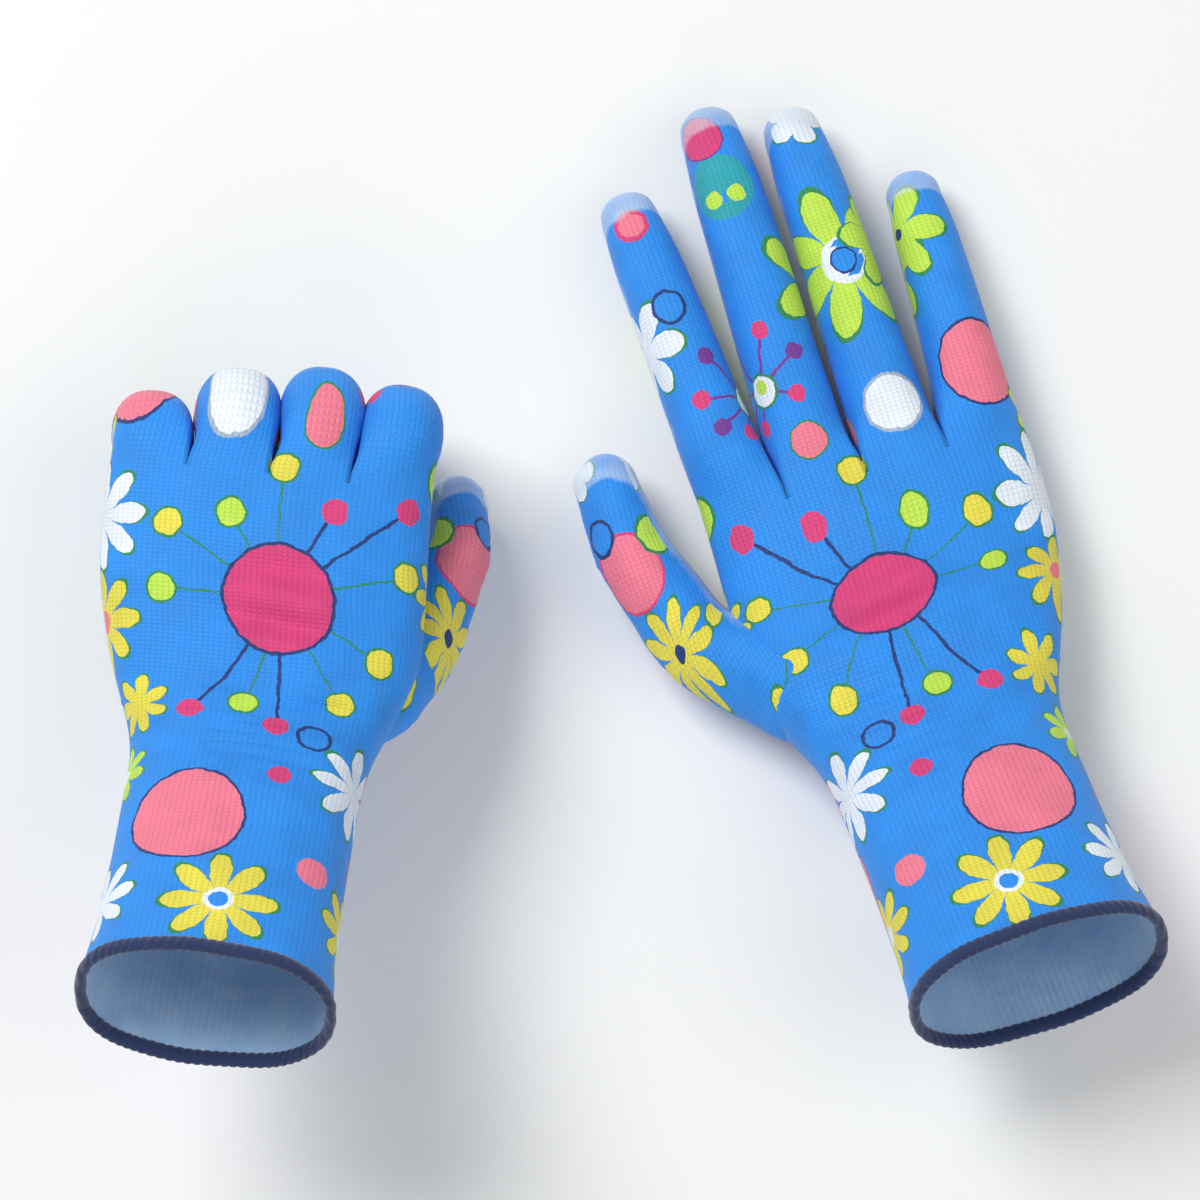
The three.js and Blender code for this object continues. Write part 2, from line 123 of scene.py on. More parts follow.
MOTIFS = (
    dot(-1, -46, 14.5, Ink.MAGENTA, Ink.NAVY, 0.06),
    dot(-33, -19, 3.4, Ink.MAGENTA), dot(-14, -22, 3.4, Ink.MAGENTA),
    dot(-3, -84, 3.4, Ink.MAGENTA), dot(19, -80, 3.4, Ink.MAGENTA),
    dot(0, -12, 4.2, Ink.YELLOW, Ink.GREEN, 0.16), dot(12, -25, 4.2, Ink.LIME, Ink.GREEN, 0.16),
    dot(28, -29, 4.2, Ink.YELLOW, Ink.GREEN, 0.16), dot(29, -46, 4.2, Ink.LIME, Ink.GREEN, 0.16),
    dot(-34, -36, 4.2, Ink.YELLOW, Ink.GREEN, 0.16), dot(-27, -59, 4.2, Ink.YELLOW, Ink.GREEN, 0.16),
    dot(-18, -72, 4.2, Ink.YELLOW, Ink.GREEN, 0.16), dot(6, -76, 4.2, Ink.LIME, Ink.GREEN, 0.16),
    flower(-28, -99, 15, Ink.WHITE, 8, 0.92), dot(-13, -86, 4.8, Ink.GROUND, Ink.NAVY, 0.2),
    dot(15, -120, 14.8, Ink.CORAL, Ink.NAVY, 0.05),
    flower(3, -147, 15.5, Ink.YELLOW, 8, 0.8, Ink.WHITE, 0.24), dot(3, -147, 2.4, Ink.GROUND),
    dot(-19, -131, 4.6, Ink.CORAL), dot(16, 2, 8.2, Ink.WHITE, Ink.GREY, 0.1),
    dot(-8, -1, 5.2, Ink.CORAL, Ink.GREEN, 0.1), dot(-16, 15.5, 4.8, Ink.WHITE, Ink.GREEN, 0.16),
    dot(-16, 16.5, 2.0, Ink.LIME),
    dot(-11, 31, 2.4, Ink.MAGENTA), dot(-4, 23, 2.4, Ink.PURPLE), dot(-7, 12, 2.4, Ink.MAGENTA),
    dot(-20, 6, 2.4, Ink.MAGENTA), dot(-28, 9, 2.4, Ink.PURPLE), dot(-31, 18, 2.4, Ink.MAGENTA),
    dot(-26, 29, 2.4, Ink.PURPLE), flower(-49, -39, 13, Ink.YELLOW, 9, 0.85, Ink.NAVY, 0.13),
    dot(-55, -18, 9.6, Ink.CORAL, Ink.MAGENTA, 0.08), dot(-60, -8, 4.5, Ink.GROUND, Ink.NAVY, 0.2),
    flower(-64, 11, 8, Ink.WHITE, 5, 0.5), dot(-33, 69, 4.8, Ink.CORAL, Ink.MAGENTA, 0.25),
    flower(-43, 36, 14, Ink.WHITE, 6, 0.8), dot(-31, 44, 4.8, Ink.GROUND, Ink.NAVY, 0.2),
    dot(-9, 86, 6.6, Ink.MAGENTA, Ink.PURPLE, 0.08), dot(-8, 71, 9.0, Ink.TEAL), dot(-11, 68, 2.4, Ink.LIME),
    dot(-4.5, 68, 2.4, Ink.LIME),
    flower(16, 42, 22, Ink.LIME, 7, 0.82, Ink.WHITE, 0.28, 0.25),
    dot(16, 42, 3.6, Ink.GROUND, Ink.NAVY, 0.15),
    flower(17, 84, 9, Ink.WHITE, 5, 0.5),
    flower(31, 46, 15, Ink.LIME, 6, 0.8, Ink.NAVY, 0.12, 0.5), dot(42, 6, 12, Ink.CORAL, Ink.NAVY, 0.06),
    flower(48, -28, 15, Ink.WHITE, 8, 0.85), flower(48, -55, 14, Ink.YELLOW, 8, 0.8, Ink.CORAL, 0.2),
    flower(34, -78, 10, Ink.YELLOW, 7, 0.75), flower(-36, -140, 13, Ink.YELLOW, 8, 0.8, Ink.WHITE, 0.2),
    dot(-47, -64, 3.2, Ink.MAGENTA), flower(38, -100, 10, Ink.LIME, 7, 0.8, Ink.WHITE, 0.2),
    flower(37, -143, 13, Ink.WHITE, 8, 0.9), dot(-6, -104, 3.0, Ink.MAGENTA),
    dot(-43, -118, 9, Ink.CORAL, Ink.NAVY, 0.07), dot(46, -118, 7, Ink.MAGENTA, Ink.NAVY, 0.1),
    dot(-44, -86, 6, Ink.CORAL, Ink.NAVY, 0.1), dot(54, -84, 7, Ink.TEAL, Ink.NAVY, 0.12),
    dot(-44, -10, 6, Ink.LIME, Ink.GREEN, 0.16), flower(58, -8, 11, Ink.YELLOW, 7, 0.8),
    dot(58, -42, 6, Ink.CORAL, Ink.NAVY, 0.1),
)
STEMS = tuple(
    [Stem((-1, -46), end, Ink.NAVY) for end in ((-33, -19), (-14, -22), (-3, -84), (19, -80))]
    + [Stem((-1, -46), end, Ink.GREEN, 0.26) for end in
       ((0, -12), (12, -25), (28, -29), (29, -46), (-34, -36), (-27, -59), (-18, -72), (6, -76))]
    + [Stem((-16, 15.5), end, Ink.PURPLE, 0.42) for end in
       ((-11, 31), (-4, 23), (-7, 12), (-20, 6), (-28, 9), (-31, 18), (-26, 29))]
)


# ---------------------------------------------------------------- small numeric helpers

def smooth(x: np.ndarray | float) -> np.ndarray:
    """Smoothstep: 0 below 0, 1 above 1, and 3x^2 - 2x^3 between."""
    t = np.clip(x, 0.0, 1.0)
    return t * t * (3.0 - 2.0 * t)


def rotation(axis: str, degrees: float) -> np.ndarray:
    """The 3x3 matrix of a right-hand turn about x, y or z."""
    c, s = math.cos(math.radians(degrees)), math.sin(math.radians(degrees))
    i, j = {"x": (1, 2), "y": (2, 0), "z": (0, 1)}[axis]
    out = np.eye(3)
    out[i, i] = out[j, j] = c
    out[i, j], out[j, i] = -s, s
    return out


def track(at: np.ndarray, stations: tuple[float, ...], values: tuple[float, ...],
          soften: float = 7.0) -> np.ndarray:
    """Values read off between stations, averaged over a short stretch so that no station shows as a kink.

    Args:
        at: places to read, any shape.
        stations: rising places where the value is known.
        values: the value at each station.
        soften: half the stretch that is averaged.

    Returns:
        The softened values, shaped like at.
    """
    steps = np.linspace(-soften, soften, 9)
    return np.mean([np.interp(at + step, stations, values) for step in steps], axis=0)


def rounded_path(q: np.ndarray, marks: np.ndarray, corners: np.ndarray,
                 reach: float) -> tuple[np.ndarray, np.ndarray]:
    """Places and directions along a polyline with rounded corners.

    A straight run is corner + distance x direction. Within reach of a corner K the path is the
    quadratic curve (1-t)^2 A + 2t(1-t) K + t^2 B, from A on the run before to B on the run after.

    Args:
        q: distances along the polyline.
        marks: the distance at each corner.
        corners: the corners, one row each.
        reach: how far before and after a corner the rounding goes.

    Returns:
        Positions and unit directions, one row for each distance.
    """
    runs = np.diff(corners, axis=0)
    ways = runs / np.linalg.norm(runs, axis=1, keepdims=True)
    run = np.clip(np.searchsorted(marks, q, side="right") - 1, 0, len(ways) - 1)
    place = corners[run] + (q - marks[run])[:, None] * ways[run]
    way = ways[run].copy()
    for k in range(1, len(corners) - 1):
        near = np.abs(q - marks[k]) < reach
        t = ((q[near] - marks[k] + reach) / (2 * reach))[:, None]
        before, after = corners[k] - reach * ways[k - 1], corners[k] + reach * ways[k]
        place[near] = (1 - t) ** 2 * before + 2 * t * (1 - t) * corners[k] + t * t * after
        way[near] = (1 - t) * ways[k - 1] + t * ways[k]
    return place, way / np.linalg.norm(way, axis=1, keepdims=True)


def section(angle: np.ndarray, half: np.ndarray, back: np.ndarray, palm: np.ndarray,
            fullness: float = FULLNESS) -> tuple[np.ndarray, np.ndarray]:
    """A cross-section: x = half |cos|^e and z = back or palm |sin|^e, each with its sign."""
    c, s = np.cos(angle), np.sin(angle)
    x = half * np.sign(c) * np.abs(c) ** fullness
    z = np.where(s > 0, back, palm) * np.sign(s) * np.abs(s) ** fullness
    return x, z


def ring_lengths(points: np.ndarray, middle: int) -> np.ndarray:
    """Signed length round each closed row of points, measured from its middle column."""
    steps = np.linalg.norm(np.roll(points, -1, axis=1) - points, axis=2)
    run = np.concatenate([np.zeros((len(points), 1)), np.cumsum(steps, axis=1)], axis=1)
    whole = run[:, -1:]
    away = run[:, :-1] - run[:, middle:middle + 1]
    return (away + whole / 2) % whole - whole / 2


# ---------------------------------------------------------------- the hand that the glove is worn on

@dataclass(frozen=True)
class Finger:
    """A finger's knuckle, lean, bone lengths, and half widths and thicknesses at its joints and tip."""

    name: str
    base: tuple[float, float]
    lean: float
    lengths: tuple[float, float, float]
    half: tuple[float, float, float, float]
    thick: tuple[float, float, float, float]


FINGERS = (
    Finger("index", (-29.3, 2), -2.2, (37, 23, 19.5), (10.3, 9.5, 8.8, 7.6), (22.5, 19.5, 17.0, 13.6)),
    Finger("middle", (-7.8, 4), 2.0, (43.5, 27.5, 22), (10.5, 9.8, 9.1, 7.8), (23.5, 20.2, 17.6, 14.0)),
    Finger("ring", (14.9, 2), 0.8, (41, 26, 21), (10.6, 9.6, 8.9, 7.7), (23.0, 19.8, 17.2, 13.8)),
    Finger("little", (37.3, -5), 3.6, (32, 19.5, 18), (9.9, 8.9, 8.3, 7.1), (21.0, 18.0, 15.8, 12.6)),
)


@dataclass(frozen=True)
class Pose:
    """How one hand is held: where its glove lies, and how far each joint is bent at rest."""

    side: str
    mirror: float
    width: float
    curl_roll: float
    origin: tuple[float, float, float]
    lean: float
    slope: float
    cuff_tilt: float
    flex: dict[str, tuple[float, float, float]]
    thumb: tuple[tuple[float, float, float], ...]
    thumb_scale: float
    strip_end: float
    fill: float  # how much wider the stalls are over the knuckles, as the knit spans between them
    gather: float  # how far the print is drawn together at the palm's fold, millimetres

    def world(self, points: np.ndarray) -> np.ndarray:
        """Hand millimetres to row-frame metres: mirror, slope, lean, then the move to the glove's place."""
        turn = rotation("z", self.lean) @ rotation("x", self.slope) @ np.diag([self.mirror, 1.0, 1.0])
        return (points @ turn.T + np.array(self.origin) + CENTRE) * MM


OPEN = Pose("right", 1.0, 1.0, 0.0, (54.5, 34.6, 13.8), 18.0, 0.0, 26.0,
            {"index": (1, 5, 5), "middle": (0, 5, 4), "ring": (0, 5, 5), "little": (2, 6, 5)},
            ((-28, -60, 1), (-50.5, -41, -1), (-59.6, -12, 1.5), (-60.5, 15, -4)), 1.0, 9.0, 0.02, 6.5)
FIST = Pose("left", -1.0, 0.94, 8.0, (-84.7, 27.0, 53.9), -6.5, 3.0, 32.0,
            {"index": (84, 96, 54), "middle": (86, 98, 54), "ring": (86, 98, 54), "little": (84, 96, 54)},
            ((-27, -63, -3), (-37, -50, -13), (-42.8, -22, -27), (-41.8, -2, -41)), 0.93, 4.0, 0.13, 0.0)


@dataclass
class Sheet:
    """A surface as rows of closed rings, with what its print and its dip need at each point."""

    points: np.ndarray  # rows x columns x 3, hand millimetres
    front: np.ndarray  # rows x columns x 2, print place on the back of the hand
    back: np.ndarray  # the same for the palm side
    dip: np.ndarray  # rows x columns, 1 where the film covers
    palmar: np.ndarray  # columns, True where a face takes the palm-side print
    rows: np.ndarray  # distance along the hand or finger of each row

    def cut(self, low: float, high: float) -> tuple[int, int]:
        """First and last row between two distances, the ends included."""
        keep = np.nonzero((self.rows >= low - 1e-6) & (self.rows <= high + 1e-6))[0]
        return int(keep[0]), int(keep[-1])


class PalmSurface:
    """Cuff, wrist and palm as one tube, from the hem to the finger strips."""

    BORDERS = (-0.90, -0.50, -0.01, 0.50, 0.90)  # strip borders as shares of the half width
    V = (-84.0, -73.0, -58.0, -40.0, -22.0, -9.0)
    LEFT = (-31.5, -37.0, -42.5, -41.4, -40.0, -39.6)
    RIGHT = (32.5, 36.5, 42.5, 46.8, 48.0, 47.3)
    TOP = (24.5, 23.0, 20.5, 18.0, 16.0, 14.2)
    BOTTOM = (-12.5, -13.2, -14.0, -14.0, -13.6, -11.6)
    CUFF_V = (-166.0, -158.0, -150.0, -126.0, -99.0, -84.0)
    CUFF_HALF = (33.4, 32.8, 31.6, 30.8, 30.8, 31.6)
    CUFF_DEEP = (23.6, 22.8, 21.4, 20.0, 18.6, 18.4)
    CORNER = 17.0  # how far the wrist's bend is rounded to either side
    FOLDS = (  # place along the hand, slant, width and height
        (-45, 0.10, 4.4, 1.7), (-51.5, 0.12, 2.6, -1.5), (-38.5, 0.05, 3.0, -1.0), (-57, 0.14, 2.2, 0.7),
        (-80, 0.04, 1.3, -1.2), (-84, -0.05, 1.2, -1.3), (-88.2, 0.05, 1.3, -1.3), (-92.4, -0.03, 1.4, -1.2),
        (-97, 0.06, 1.7, -0.9), (-76, -0.10, 1.6, -1.0), (-71.5, 0.12, 1.5, -0.8), (-67, -0.08, 1.6, -0.5),
        (-108, 0.16, 4.5, 1.1), (-121, -0.12, 5.0, -0.9), (-136, 0.10, 5.0, 0.9))

    def __init__(self, pose: Pose) -> None:
        """Keeps the pose and works out the column angles."""
        self.pose = pose
        self.angles = self._angles()
        self.columns = len(self.angles)

    def _angles(self) -> np.ndarray:
        """Column angles: radial side, four strips over the back, ulnar side, four strips under the palm."""
        shares = np.concatenate([np.linspace(a, b, STRIP, endpoint=False)
                                 for a, b in zip(self.BORDERS, self.BORDERS[1:])] + [[self.BORDERS[-1]]])
        over = np.arccos(np.sign(shares) * np.abs(shares) ** (1 / FULLNESS))
        edge = over[-1]
        radial = np.linspace(math.pi + edge, math.pi - edge, SIDE, endpoint=False)
        ulnar = np.linspace(edge, -edge, SIDE, endpoint=False)
        under = -over[::-1][:-1]
        return np.concatenate([radial, over[:-1], ulnar, under])

    def grid(self, v: np.ndarray) -> np.ndarray:
        """Points for rows v: the section at v, stood square to the rounded cuff and hand line.

        Args:
            v: distances along the hand, below the wrist along the cuff.

        Returns:
            Rows x columns x 3, hand millimetres.
        """
        tilt = math.radians(self.pose.cuff_tilt)
        corners = np.array([[0, WRIST_V - 120 * math.cos(tilt), WRIST_Z + 120 * math.sin(tilt)],
                            [0, WRIST_V, WRIST_Z], [0, 40.0, WRIST_Z]])
        place, way = rounded_path(v, np.array([WRIST_V - 120, WRIST_V, 40.0]), corners, self.CORNER)
        up = np.cross(np.array([1.0, 0, 0]), way)
        stations = self.CUFF_V + self.V[1:]
        left = track(v, stations, tuple(-h for h in self.CUFF_HALF) + self.LEFT[1:])
        right = track(v, stations, self.CUFF_HALF + self.RIGHT[1:])
        deep = tuple((t - b) / 2 for t, b in zip(self.TOP, self.BOTTOM))
        lift = tuple((t + b) / 2 - WRIST_Z for t, b in zip(self.TOP, self.BOTTOM))
        thick = track(v, stations, self.CUFF_DEEP + deep[1:])
        rise = track(v, stations, (0.0,) * len(self.CUFF_V) + lift[1:])
        half = ((right - left) / 2)[:, None] * self.pose.width
        x, z = section(self.angles[None, :], half, thick[:, None], thick[:, None])
        z = z + self._folds(v[:, None], x) * np.sign(np.sin(self.angles))[None, :]
        x = x + ((left + right) / 2 * self.pose.width)[:, None]
        out = place[:, None, :] + (z + rise[:, None])[..., None] * up[:, None, :]
        out[..., 0] += x
        return out

    def _folds(self, v: np.ndarray, x: np.ndarray) -> np.ndarray:
        """Folds and slack as a height: bands exp(-((v - v0 - slant x) / width)^2) and slow waves.

        Args:
            v: distance along the hand.
            x: distance across it.

        Returns:
            Height in millimetres, to be added away from the middle of the hand.
        """
        height = sum(size * np.exp(-((v - at - slant * x) / wide) ** 2) for at, slant, wide, size in self.FOLDS)
        slack = 0.45 * np.sin(v * 0.16 + x * 0.11) * np.sin(x * 0.17 - v * 0.05 + 1.0)
        knuckles = 1.5 * np.exp(-((v - 2.0) / 9.0) ** 2) * np.cos((x - 3.6) / 22.4 * 2 * math.pi + math.pi)
        return height * (0.6 + 0.4 * np.cos(x * 0.09 + 0.5)) + slack + 0.5 * knuckles

    def sheet(self, v: np.ndarray) -> Sheet:
        """The surface for rows v, with its print places and dip."""
        points = self.grid(v)
        front_middle, back_middle = SIDE + 2 * STRIP, 2 * SIDE + 6 * STRIP
        pull = (v + 47.0) / 11.0
        gathered = v + self.pose.gather * pull * np.exp(-pull * pull / 2)
        along = np.repeat(gathered[:, None], self.columns, axis=1)
        front = np.stack([3.6 + ring_lengths(points, front_middle), along], axis=2)
        back = np.stack([-3.6 - ring_lengths(points, back_middle), along + 6.0], axis=2)
        column = np.arange(self.columns)
        under = np.zeros(self.columns)
        under[:SIDE + 1] = np.maximum(0, 1 - column[:SIDE + 1] / 3)
        ulnar = slice(SIDE + 4 * STRIP, 2 * SIDE + 4 * STRIP + 1)
        under[ulnar] = np.linspace(0, 1, SIDE + 1)
        under[2 * SIDE + 4 * STRIP:] = 1
        dip = under[None, :] * smooth((v + 78) / 8)[:, None]
        palmar = (column < SIDE // 2) | (column >= SIDE + 4 * STRIP + SIDE // 2)
        return Sheet(points, front, back, dip, palmar, v)


class DigitSurface:
    """A finger or thumb stall as a tube along a rounded line, closed by a dome."""

    COLUMNS = 2 * SIDE + 2 * STRIP
    WALL = math.radians(40)  # half of the angle that a side wall takes

    def __init__(self, marks: np.ndarray, corners: np.ndarray, across: np.ndarray, half: tuple[float, ...],
                 thick: tuple[float, ...], reach: float) -> None:
        """Keeps the digit's line and its sizes.

        Args:
            marks: distance along the digit of each corner, the knuckle at 0.
            corners: the line's corners in hand millimetres.
            across: the direction across the digit, towards the little finger.
            half: half widths at the corners from the knuckle on.
            thick: thicknesses at the same corners.
            reach: how far the rounding at each joint goes.
        """
        self.marks, self.corners, self.across = marks, corners, across
        self.half, self.thick, self.reach = half, thick, reach
        self.end = float(marks[-1])
        self.dome = half[-1] * 1.05
        edge = self.WALL
        self.angles = np.concatenate([
            np.linspace(math.pi + edge, math.pi - edge, SIDE, endpoint=False),
            np.linspace(math.pi - edge, edge, STRIP, endpoint=False),
            np.linspace(edge, -edge, SIDE, endpoint=False),
            np.linspace(-edge, edge - math.pi, STRIP, endpoint=False)])

    def rows(self, start: float, cuts: tuple[float, ...], step: float = 1.7) -> np.ndarray:
        """Row distances from start to the tip, with each cut on a row and closer rows over the dome."""
        stops = [start, *cuts, self.end - self.dome]
        body = [np.linspace(a, b, max(2, round((b - a) / step)), endpoint=False)
                for a, b in zip(stops, stops[1:])]
        turn = np.linspace(0, math.radians(88.5), 10)
        return np.concatenate([*body, self.end - self.dome + self.dome * np.sin(turn)])

    def line(self, q: np.ndarray) -> tuple[np.ndarray, np.ndarray]:
        """Centre line places and directions at distances q."""
        return rounded_path(q, self.marks, self.corners, self.reach)

    def grid(self, q: np.ndarray) -> np.ndarray:
        """Points for rows q: a section square to the line, shrunk by sqrt(1 - t^2) over the dome."""
        place, way = self.line(q)
        across = self.across[None, :] - (way @ self.across)[:, None] * way
        across /= np.linalg.norm(across, axis=1, keepdims=True)
        up = np.cross(across, way)
        stations = tuple(self.marks[-len(self.half):][:-1]) + (self.end - self.dome,)
        half = track(q, stations, self.half, 4.0)
        thick = track(q, stations, self.thick, 4.0)
        t = np.clip((q - self.end + self.dome) / self.dome, 0, 1)
        close = np.sqrt(np.maximum(1 - t * t, 0))
        turned = self._bend_share(q)
        x, z = section(self.angles[None, :], (half * close)[:, None], (thick * 0.58 * close)[:, None],
                       (thick * (0.42 - 0.14 * turned) * close)[:, None])
        over = np.maximum(np.sin(self.angles), 0)[None, :]
        z = z + self._wrinkles(q)[:, None] * over ** 0.6 * close[:, None]
        return place[:, None, :] + x[..., None] * across[:, None, :] + z[..., None] * up[:, None, :]

    def _bend_share(self, q: np.ndarray) -> np.ndarray:
        """How folded the palm side is: a bell round each joint times the share of a right angle it turns."""
        runs = np.diff(self.corners, axis=0)
        ways = runs / np.linalg.norm(runs, axis=1, keepdims=True)
        share = np.zeros_like(q)
        for k in range(1, len(self.corners) - 1):
            turn = math.acos(float(np.clip(ways[k - 1] @ ways[k], -1, 1)))
            share += min(turn / (math.pi / 2), 1.1) * np.exp(-((q - self.marks[k]) / 8.0) ** 2)
        return share

    def _wrinkles(self, q: np.ndarray) -> np.ndarray:
        """Knuckle height and slack rings: a bell at each joint, and small waves where it is straight."""
        height = np.zeros_like(q)
        for mark in self.marks[1:-1]:
            bell = np.exp(-((q - mark) / 6.5) ** 2)
            height += 0.5 * bell + 0.28 * bell * np.cos((q - mark) / 2.9 * 2 * math.pi)
        return height + 0.16 * np.sin(q * 0.55 + self.end) + 0.6 * self._bend_share(q)


class FingerSurface(DigitSurface):
    """A finger stall that grows out of its strip of the palm without a seam."""

    def __init__(self, pose: Pose, spec: Finger, number: int, palm: PalmSurface) -> None:
        """Lays the finger's line out from its knuckle with the pose's bends."""
        self.pose, self.spec, self.number, self.palm = pose, spec, number, palm
        turn = rotation("z", -spec.lean) @ rotation("y", -pose.curl_roll)
        base = np.array([spec.base[0] * pose.width, spec.base[1], 0.0])
        bends = np.cumsum(np.radians(pose.flex[spec.name]))
        steps = [length * (turn @ np.array([0, math.cos(a), -math.sin(a)]))
                 for length, a in zip(spec.lengths, bends)]
        joints = [base + sum(steps[:k], np.zeros(3)) for k in range(4)]
        corners = np.array([base - turn @ np.array([0, 60.0, 0]), *joints])
        marks = np.array([-60.0, *np.cumsum([0.0, *spec.lengths])])
        half = tuple(h * pose.width for h in spec.half)
        super().__init__(marks, corners, turn[:, 0], half, spec.thick, 8.2)

    def _strip_columns(self) -> list[np.ndarray]:
        """Palm columns behind each of the finger's runs: radial wall, back, ulnar wall and palm side."""
        k, under = self.number, 2 * SIDE + 4 * STRIP
        return [np.arange(SIDE + 1), np.arange(SIDE + k * STRIP, SIDE + (k + 1) * STRIP + 1),
                np.arange(SIDE + 4 * STRIP, under + 1),
                np.arange(under + (3 - k) * STRIP, under + (4 - k) * STRIP + 1) % self.palm.columns]

    def _from_palm(self, values: np.ndarray) -> np.ndarray:
        """A palm array read at this finger's columns, with straight walls between neighbouring fingers."""
        radial, over, ulnar, under = self._strip_columns()
        share = np.linspace(0, 1, SIDE + 1)[None, :, None]
        wall_a = values[:, radial] if self.number == 0 else (
            values[:, under[-1:]] * (1 - share) + values[:, over[:1]] * share)
        wall_b = values[:, ulnar] if self.number == 3 else (
            values[:, over[-1:]] * (1 - share) + values[:, under[:1]] * share)
        runs = [wall_a[:, :-1], values[:, over[:-1]], wall_b[:, :-1], values[:, under[:-1]]]
        return np.concatenate(runs, axis=1)

    def sheet(self, q: np.ndarray) -> Sheet:
        """Rows q of the finger: palm strip x (1 - w) + tube x w, where w is a smoothstep along the hand."""
        v = self.spec.base[1] + q
        w = smooth((v - SPLIT_V) / (self.pose.strip_end - SPLIT_V))[:, None, None]
        strip = self.palm.sheet(np.minimum(v, 14.0))
        tube = self.grid(q)
        spine = self.line(q)[0][:, None, :]
        sideways = ((tube - spine) @ self.across)[..., None] * self.across
        tube = tube + self.pose.fill * np.exp(-((q - 3.0) / 10.0) ** 4)[:, None, None] * sideways
        points = self._from_palm(strip.points) * (1 - w) + tube * w
        lean = math.radians(self.spec.lean)
        flat = np.array(self.spec.base) + q[:, None] * np.array([math.sin(lean), math.cos(lean)])
        sideways = ring_lengths(tube, SIDE + STRIP // 2)
        below = ring_lengths(tube, 2 * SIDE + STRIP + STRIP // 2)
        zero = np.zeros_like(sideways)
        own_front = flat[:, None, :] + np.stack([sideways, zero], 2)
        front = self._from_palm(strip.front) * (1 - w) + own_front * w
        back_flat = flat * np.array([-1.0, 1.0]) + np.array([0.0, 6.0])
        back = self._from_palm(strip.back) * (1 - w) + (
            back_flat[:, None, :] - np.stack([below, zero], 2) * np.array([-1.0, 1.0])) * w
        under = np.maximum(0.0, 0.5 - 0.62 * np.sin(self.angles))[None, :]
        own = np.minimum(1.0, under + smooth((q - self.end + 13) / 9)[:, None])
        dip = self._from_palm(strip.dip[..., None])[..., 0] * (1 - w[..., 0]) + own * w[..., 0]
        column = np.arange(self.COLUMNS)
        palmar = (column < SIDE // 2) | (column >= SIDE + STRIP + SIDE // 2)
        return Sheet(points, front, back, dip, palmar, q)


class ThumbSurface(DigitSurface):
    """The thumb stall, whose wide root rises out of the heel of the palm."""

    ROOT = 12.0  # how far the stall runs on inside the palm

    def __init__(self, pose: Pose) -> None:
        """Lays the thumb's line out from inside the palm to its tip."""
        self.pose = pose
        corners = self._rooted(pose.thumb)
        steps = np.linalg.norm(np.diff(corners, axis=0), axis=1)
        marks = np.concatenate([[0.0], np.cumsum(steps)]) - self.ROOT
        along = corners[3] - corners[2]
        along /= np.linalg.norm(along)
        back = along - (corners[4] - corners[3]) / steps[3]
        back -= (back @ along) * along
        back /= np.linalg.norm(back)
        k = pose.thumb_scale
        half = tuple(h * k for h in (12.0, 14.5, 10.8, 9.2, 8.2))
        thick = tuple(t * k for t in (22.0, 25.0, 20.5, 17.8, 13.6))
        super().__init__(marks, corners, np.cross(along, back), half, thick, 9.0)

    def _rooted(self, corners: tuple[tuple[float, float, float], ...]) -> np.ndarray:
        """The thumb's corners with one more before them, deep in the palm."""
        line = np.array(corners, dtype=float)
        way = line[1] - line[0]
        return np.vstack([line[0] - self.ROOT * way / np.linalg.norm(way), line])

    def sheet(self, q: np.ndarray) -> Sheet:
        """Rows q of the thumb, printed as the flat glove's thumb is."""
        points = self.grid(q)
        flat, _ = rounded_path(q, self.marks, self._rooted(OPEN.thumb) * [1, 1, 0], self.reach)
        across = np.array([0.99, 0.14])
        sideways = ring_lengths(points, SIDE + STRIP // 2)[..., None] * across
        below = ring_lengths(points, 2 * SIDE + STRIP + STRIP // 2)[..., None] * across
        front = flat[:, None, :2] + sideways
        back = flat[:, None, :2] + np.array([9.0, 21.0]) - below
        under = np.maximum(0.0, 0.42 - 0.62 * np.sin(self.angles))[None, :]
        dip = np.minimum(1.0, under + smooth((q - self.end + 14) / 9)[:, None])
        column = np.arange(self.COLUMNS)
        palmar = (column < SIDE // 2) | (column >= SIDE + STRIP + SIDE // 2)
        return Sheet(points, front, back, dip, palmar, q)


# ---------------------------------------------------------------- meshes

def unit_normals(points: np.ndarray) -> np.ndarray:
    """Outward unit normals of a grid of closed rings: the cross product of its two running differences."""
    down = np.gradient(points, axis=0)
    round_ = np.roll(points, -1, axis=1) - np.roll(points, 1, axis=1)
    normal = np.cross(down, round_)
    normal /= np.maximum(np.linalg.norm(normal, axis=2, keepdims=True), 1e-12)
    outward = np.sum(normal * (points - points.mean(axis=1, keepdims=True)))
    return normal * (1.0 if outward > 0 else -1.0)


def ring_triangles(rows: int, columns: int) -> tuple[np.ndarray, np.ndarray]:
    """Triangles of a grid of closed rings, and the column of each."""
    i, j = np.meshgrid(np.arange(rows - 1), np.arange(columns), indexing="ij")
    k = (j + 1) % columns
    a, b, c, d = i * columns + j, i * columns + k, (i + 1) * columns + k, (i + 1) * columns + j
    triangles = np.stack([np.stack([a, b, c], -1), np.stack([a, c, d], -1)], axis=2).reshape(-1, 3)
    return triangles, np.repeat(j.ravel(), 2)


